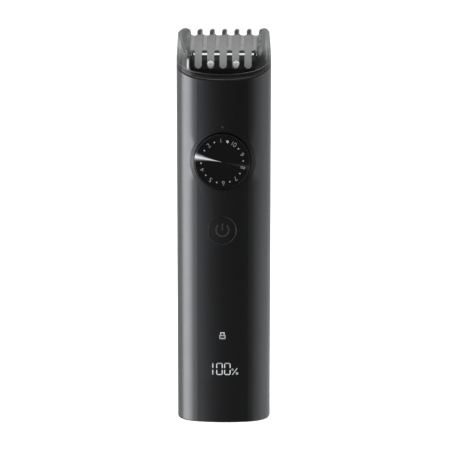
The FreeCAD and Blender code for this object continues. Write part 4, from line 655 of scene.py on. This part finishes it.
def make_dial_marks():
    """The scale on the dial: numbers 1 to 10, half-step dots between them and a large dot for zero."""
    low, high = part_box("dial_disc")
    centre = Vector(((low.x + high.x) / 2, low.y - PRINT_THICKNESS / 2, (low.z + high.z) / 2))
    bm = bmesh.new()
    for number in range(1, LAST_NUMBER + 1):
        angle = FIRST_NUMBER_ANGLE + NUMBER_STEP * (number - 1)
        bm.from_mesh(number_mesh(str(number), on_dial(centre, angle, MARK_RADIUS)))
        if number < LAST_NUMBER:
            add_dot(bm, on_dial(centre, angle + NUMBER_STEP / 2, MARK_RADIUS), HALF_STEP_DOT)
    add_dot(bm, on_dial(centre, ZERO_DOT_ANGLE, MARK_RADIUS), ZERO_DOT)
    new_piece("dial_marks", bm, printed_ink("dial_ink", (0.23, 0.23, 0.23)), "dial")


def front_of_tube(x, z):
    """The point where a line of sight along +Y meets the tube's wall."""
    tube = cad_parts["housing"]
    start = tube.matrix_world.inverted() @ Vector((x, -0.1, z))
    hit, place, _, _ = tube.ray_cast(start, Vector((0, 1, 0)))
    if not hit:
        raise RuntimeError("no wall at %s" % z)
    return tube.matrix_world @ place


def make_index_dot():
    """The small dot above the dial that its numbers are read against."""
    front = front_of_tube(0.0, INDEX_HEIGHT)
    bm = bmesh.new()
    add_dot(bm, on_dial(front - Vector((0, PRINT_THICKNESS / 4, 0)), 0.0, 0.0), INDEX_DOT)
    new_piece("index_dot", bm, printed_ink("index_ink", (0.03, 0.03, 0.03)), "case")


def lip_section(bm, middle, hole, angle):
    """The lip's profile at one angle round the button, standing on the tube's wall."""
    across, up = math.cos(angle), math.sin(angle)
    section = []
    for out, rise in LIP_PROFILE:
        x, z = middle.x + (hole + out) * across, middle.z + (hole + out) * up
        wall = front_of_tube(middle.x + (hole + out + CLEAR_OF_EDGE) * across, z)
        section.append(bm.verts.new((x, wall.y - rise, z)))
    return section


def make_button_lip():
    """The rounded edge of the tube's wall round the power button."""
    low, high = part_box("power_button")
    middle = (low + high) / 2
    hole = (high.x - low.x) / 2 + BUTTON_GAP
    bm = bmesh.new()
    sections = [lip_section(bm, middle, hole, 2 * math.pi * step / LIP_STEPS) for step in range(LIP_STEPS)]
    for index, section in enumerate(sections):
        after = sections[(index + 1) % LIP_STEPS]
        for part in range(len(LIP_PROFILE) - 1):
            bm.faces.new((section[part], after[part], after[part + 1], section[part + 1])).smooth = True
    bmesh.ops.recalc_face_normals(bm, faces=bm.faces)
    new_piece("button_lip", bm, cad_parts["housing"].data.materials[0], "case")


# ---------------------------------------------------------------- stage, light and camera

FLOOR_REACH = 4.0
FLOOR_GAP = 0.2 * MM

# Brightness of the studio by compass direction, degrees from the camera's side, + to its right.
STUDIO = ((-180, 0.40), (-150, 0.50), (-115, 1.15), (-90, 4.4), (-69, 3.7), (-51, 1.3), (-34, 0.72),
          (-23, 0.31), (-10, 0.165), (10, 0.118), (24, 0.105), (32, 0.125), (45, 0.21), (62, 0.43),
          (82, 0.60), (106, 0.80), (140, 0.60), (180, 0.35))

# The angles, in radians, over which the left and right walls take over from the front one.
LEFT_WALL = (-0.7, -1.1)
RIGHT_WALL = (0.7, 1.6)

# How each wall's brightness changes: two heights, then the level at each. A height is the upward
# part of a direction. The left wall's two are distances from LEFT_BOX_HEIGHT.
LEFT_BOX_HEIGHT = -0.02
LEFT_BY_HEIGHT = (0.22, 0.4, 1.0, 0.25)
RIGHT_BY_HEIGHT = (-0.2, -0.04, 1.35, 0.85)
FRONT_BY_HEIGHT = (-0.165, -0.06, 1.05, 0.55)
CEILING_START = (0.35, 0.75)
CEILING_LEVEL = 0.3
SEEN_WHITE = 1.02
BEHIND_OBJECT = (0.2, 0.5)

OBJECT_MIDDLE = Vector((0, 0, 0.085))
SOFT_BOXES = (("key_box", (-0.45, -0.6, 0.5), 5.0), ("fill_box", (0.6, -0.4, 0.3), 2.5))
BOX_SIZE = 0.4

CAMERA_AZIMUTH = 2.09
CAMERA_ELEVATION = 6.94
CAMERA_DISTANCE = 1.0
CAMERA_LENS = 186.5
CAMERA_SHIFT = (0.0025, -0.0117)


def floor_material():
    s = Shader("pale_floor")
    tone = s.mix_colour(s.noise(8.0), (0.9, 0.9, 0.9), (0.93, 0.93, 0.93))
    shader = s.add("BsdfPrincipled", Base_Color=tone, Roughness=0.6, Specular_IOR_Level=0.0,
                   Emission_Color=WHITE, Emission_Strength=0.75)
    return s.finish(shader.outputs[0])


def make_floor():
    mesh = bpy.data.meshes.new("floor")
    corners = [(x * FLOOR_REACH, y * FLOOR_REACH, 0) for x, y in ((-1, -1), (1, -1), (1, 1), (-1, 1))]
    mesh.from_pydata(corners, [], [(0, 1, 2, 3)])
    mesh.materials.append(floor_material())
    floor = bpy.data.objects.new("floor", mesh)
    floor.location.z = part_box("base_cap")[0].z - FLOOR_GAP
    floor.visible_glossy = False
    floor.visible_transmission = False
    bpy.context.scene.collection.objects.link(floor)


def level_by_compass(s, angle):
    """The studio's brightness in one compass direction, a smooth curve through STUDIO."""
    ramp = s.add("FloatCurve", Value=s.spread(angle, -math.pi, math.pi))
    curve = ramp.mapping.curves[0]
    top = max(level for _, level in STUDIO)
    curve.points[0].location = (0.0, STUDIO[0][1] / top)
    curve.points[1].location = (1.0, STUDIO[-1][1] / top)
    for degrees, level in STUDIO[1:-1]:
        curve.points.new(degrees / 360.0 + 0.5, level / top)
    ramp.mapping.update()
    return s.product(ramp.outputs[0], top)


def level_by_height(s, angle, height):
    """How the studio's brightness changes with height, which differs between its walls."""
    left = s.spread(angle, *LEFT_WALL)
    right = s.spread(angle, *RIGHT_WALL)
    front = s.math("SUBTRACT", 1.0, s.math("MAXIMUM", left, right))
    on_left = s.product(left, s.spread(s.distance(height, LEFT_BOX_HEIGHT), *LEFT_BY_HEIGHT, True))
    on_right = s.product(right, s.spread(height, *RIGHT_BY_HEIGHT))
    in_front = s.product(front, s.spread(height, *FRONT_BY_HEIGHT))
    return s.math("ADD", on_left, s.math("ADD", on_right, in_front))


def studio_walls(s, direction):
    """The room as the object mirrors it: dark behind the camera, a soft box on each side."""
    axes = s.axes(direction)
    height = axes["Z"]
    angle = s.math("ARCTAN2", axes["X"], s.product(axes["Y"], -1.0))
    walls = s.product(level_by_compass(s, angle), level_by_height(s, angle, height))
    return s.math("ADD", walls, s.product(s.rise(height, *CEILING_START), CEILING_LEVEL))


def make_world():
    """Plain white where it is seen directly or through clear plastic, studio walls where it is mirrored."""
    s = Shader("studio", world=True)
    direction = s.add("TexCoord").outputs["Generated"]
    room = s.add("Background", Color=WHITE, Strength=studio_walls(s, direction))
    white = s.add("Background", Color=WHITE, Strength=SEEN_WHITE)
    rays = s.add("LightPath").outputs
    behind = s.spread(s.axes(direction)["Y"], *BEHIND_OBJECT)
    seen = s.math("MAXIMUM", rays["Is Camera Ray"], s.product(rays["Is Transmission Ray"], behind))
    bpy.context.scene.world = s.finish(s.mix_surfaces(seen, room, white).outputs[0])


def softbox(name, place, power):
    """A square soft box aimed at the object, seen by matt surfaces only."""
    light = bpy.data.lights.new(name, "AREA")
    light.size = BOX_SIZE
    light.energy = power
    box = bpy.data.objects.new(name, light)
    box.location = place
    box.rotation_euler = (OBJECT_MIDDLE - Vector(place)).to_track_quat("-Z", "Y").to_euler()
    box.visible_glossy = False
    box.visible_transmission = False
    bpy.context.scene.collection.objects.link(box)


def make_camera():
    """A long lens a little right of the dial's axis and a little above, as the object is shown."""
    data = bpy.data.cameras.new("view")
    data.lens = CAMERA_LENS
    data.sensor_width = 36.0
    data.shift_x, data.shift_y = CAMERA_SHIFT
    camera = bpy.data.objects.new("view", data)
    turn, rise = math.radians(CAMERA_AZIMUTH), math.radians(CAMERA_ELEVATION)
    away = Vector((math.sin(turn) * math.cos(rise), -math.cos(turn) * math.cos(rise), math.sin(rise)))
    camera.location = OBJECT_MIDDLE + away * CAMERA_DISTANCE
    camera.rotation_euler = (-away).to_track_quat("-Z", "Y").to_euler()
    bpy.context.scene.collection.objects.link(camera)
    bpy.context.scene.camera = camera


def set_colour_handling():
    view = bpy.context.scene.view_settings
    view.view_transform = "Standard"
    view.look = "None"


dress_outside()
dress_inside()
make_dial_marks()
make_index_dot()
make_button_lip()
make_floor()
make_world()
for soft_box in SOFT_BOXES:
    softbox(*soft_box)
make_camera()
set_colour_handling()
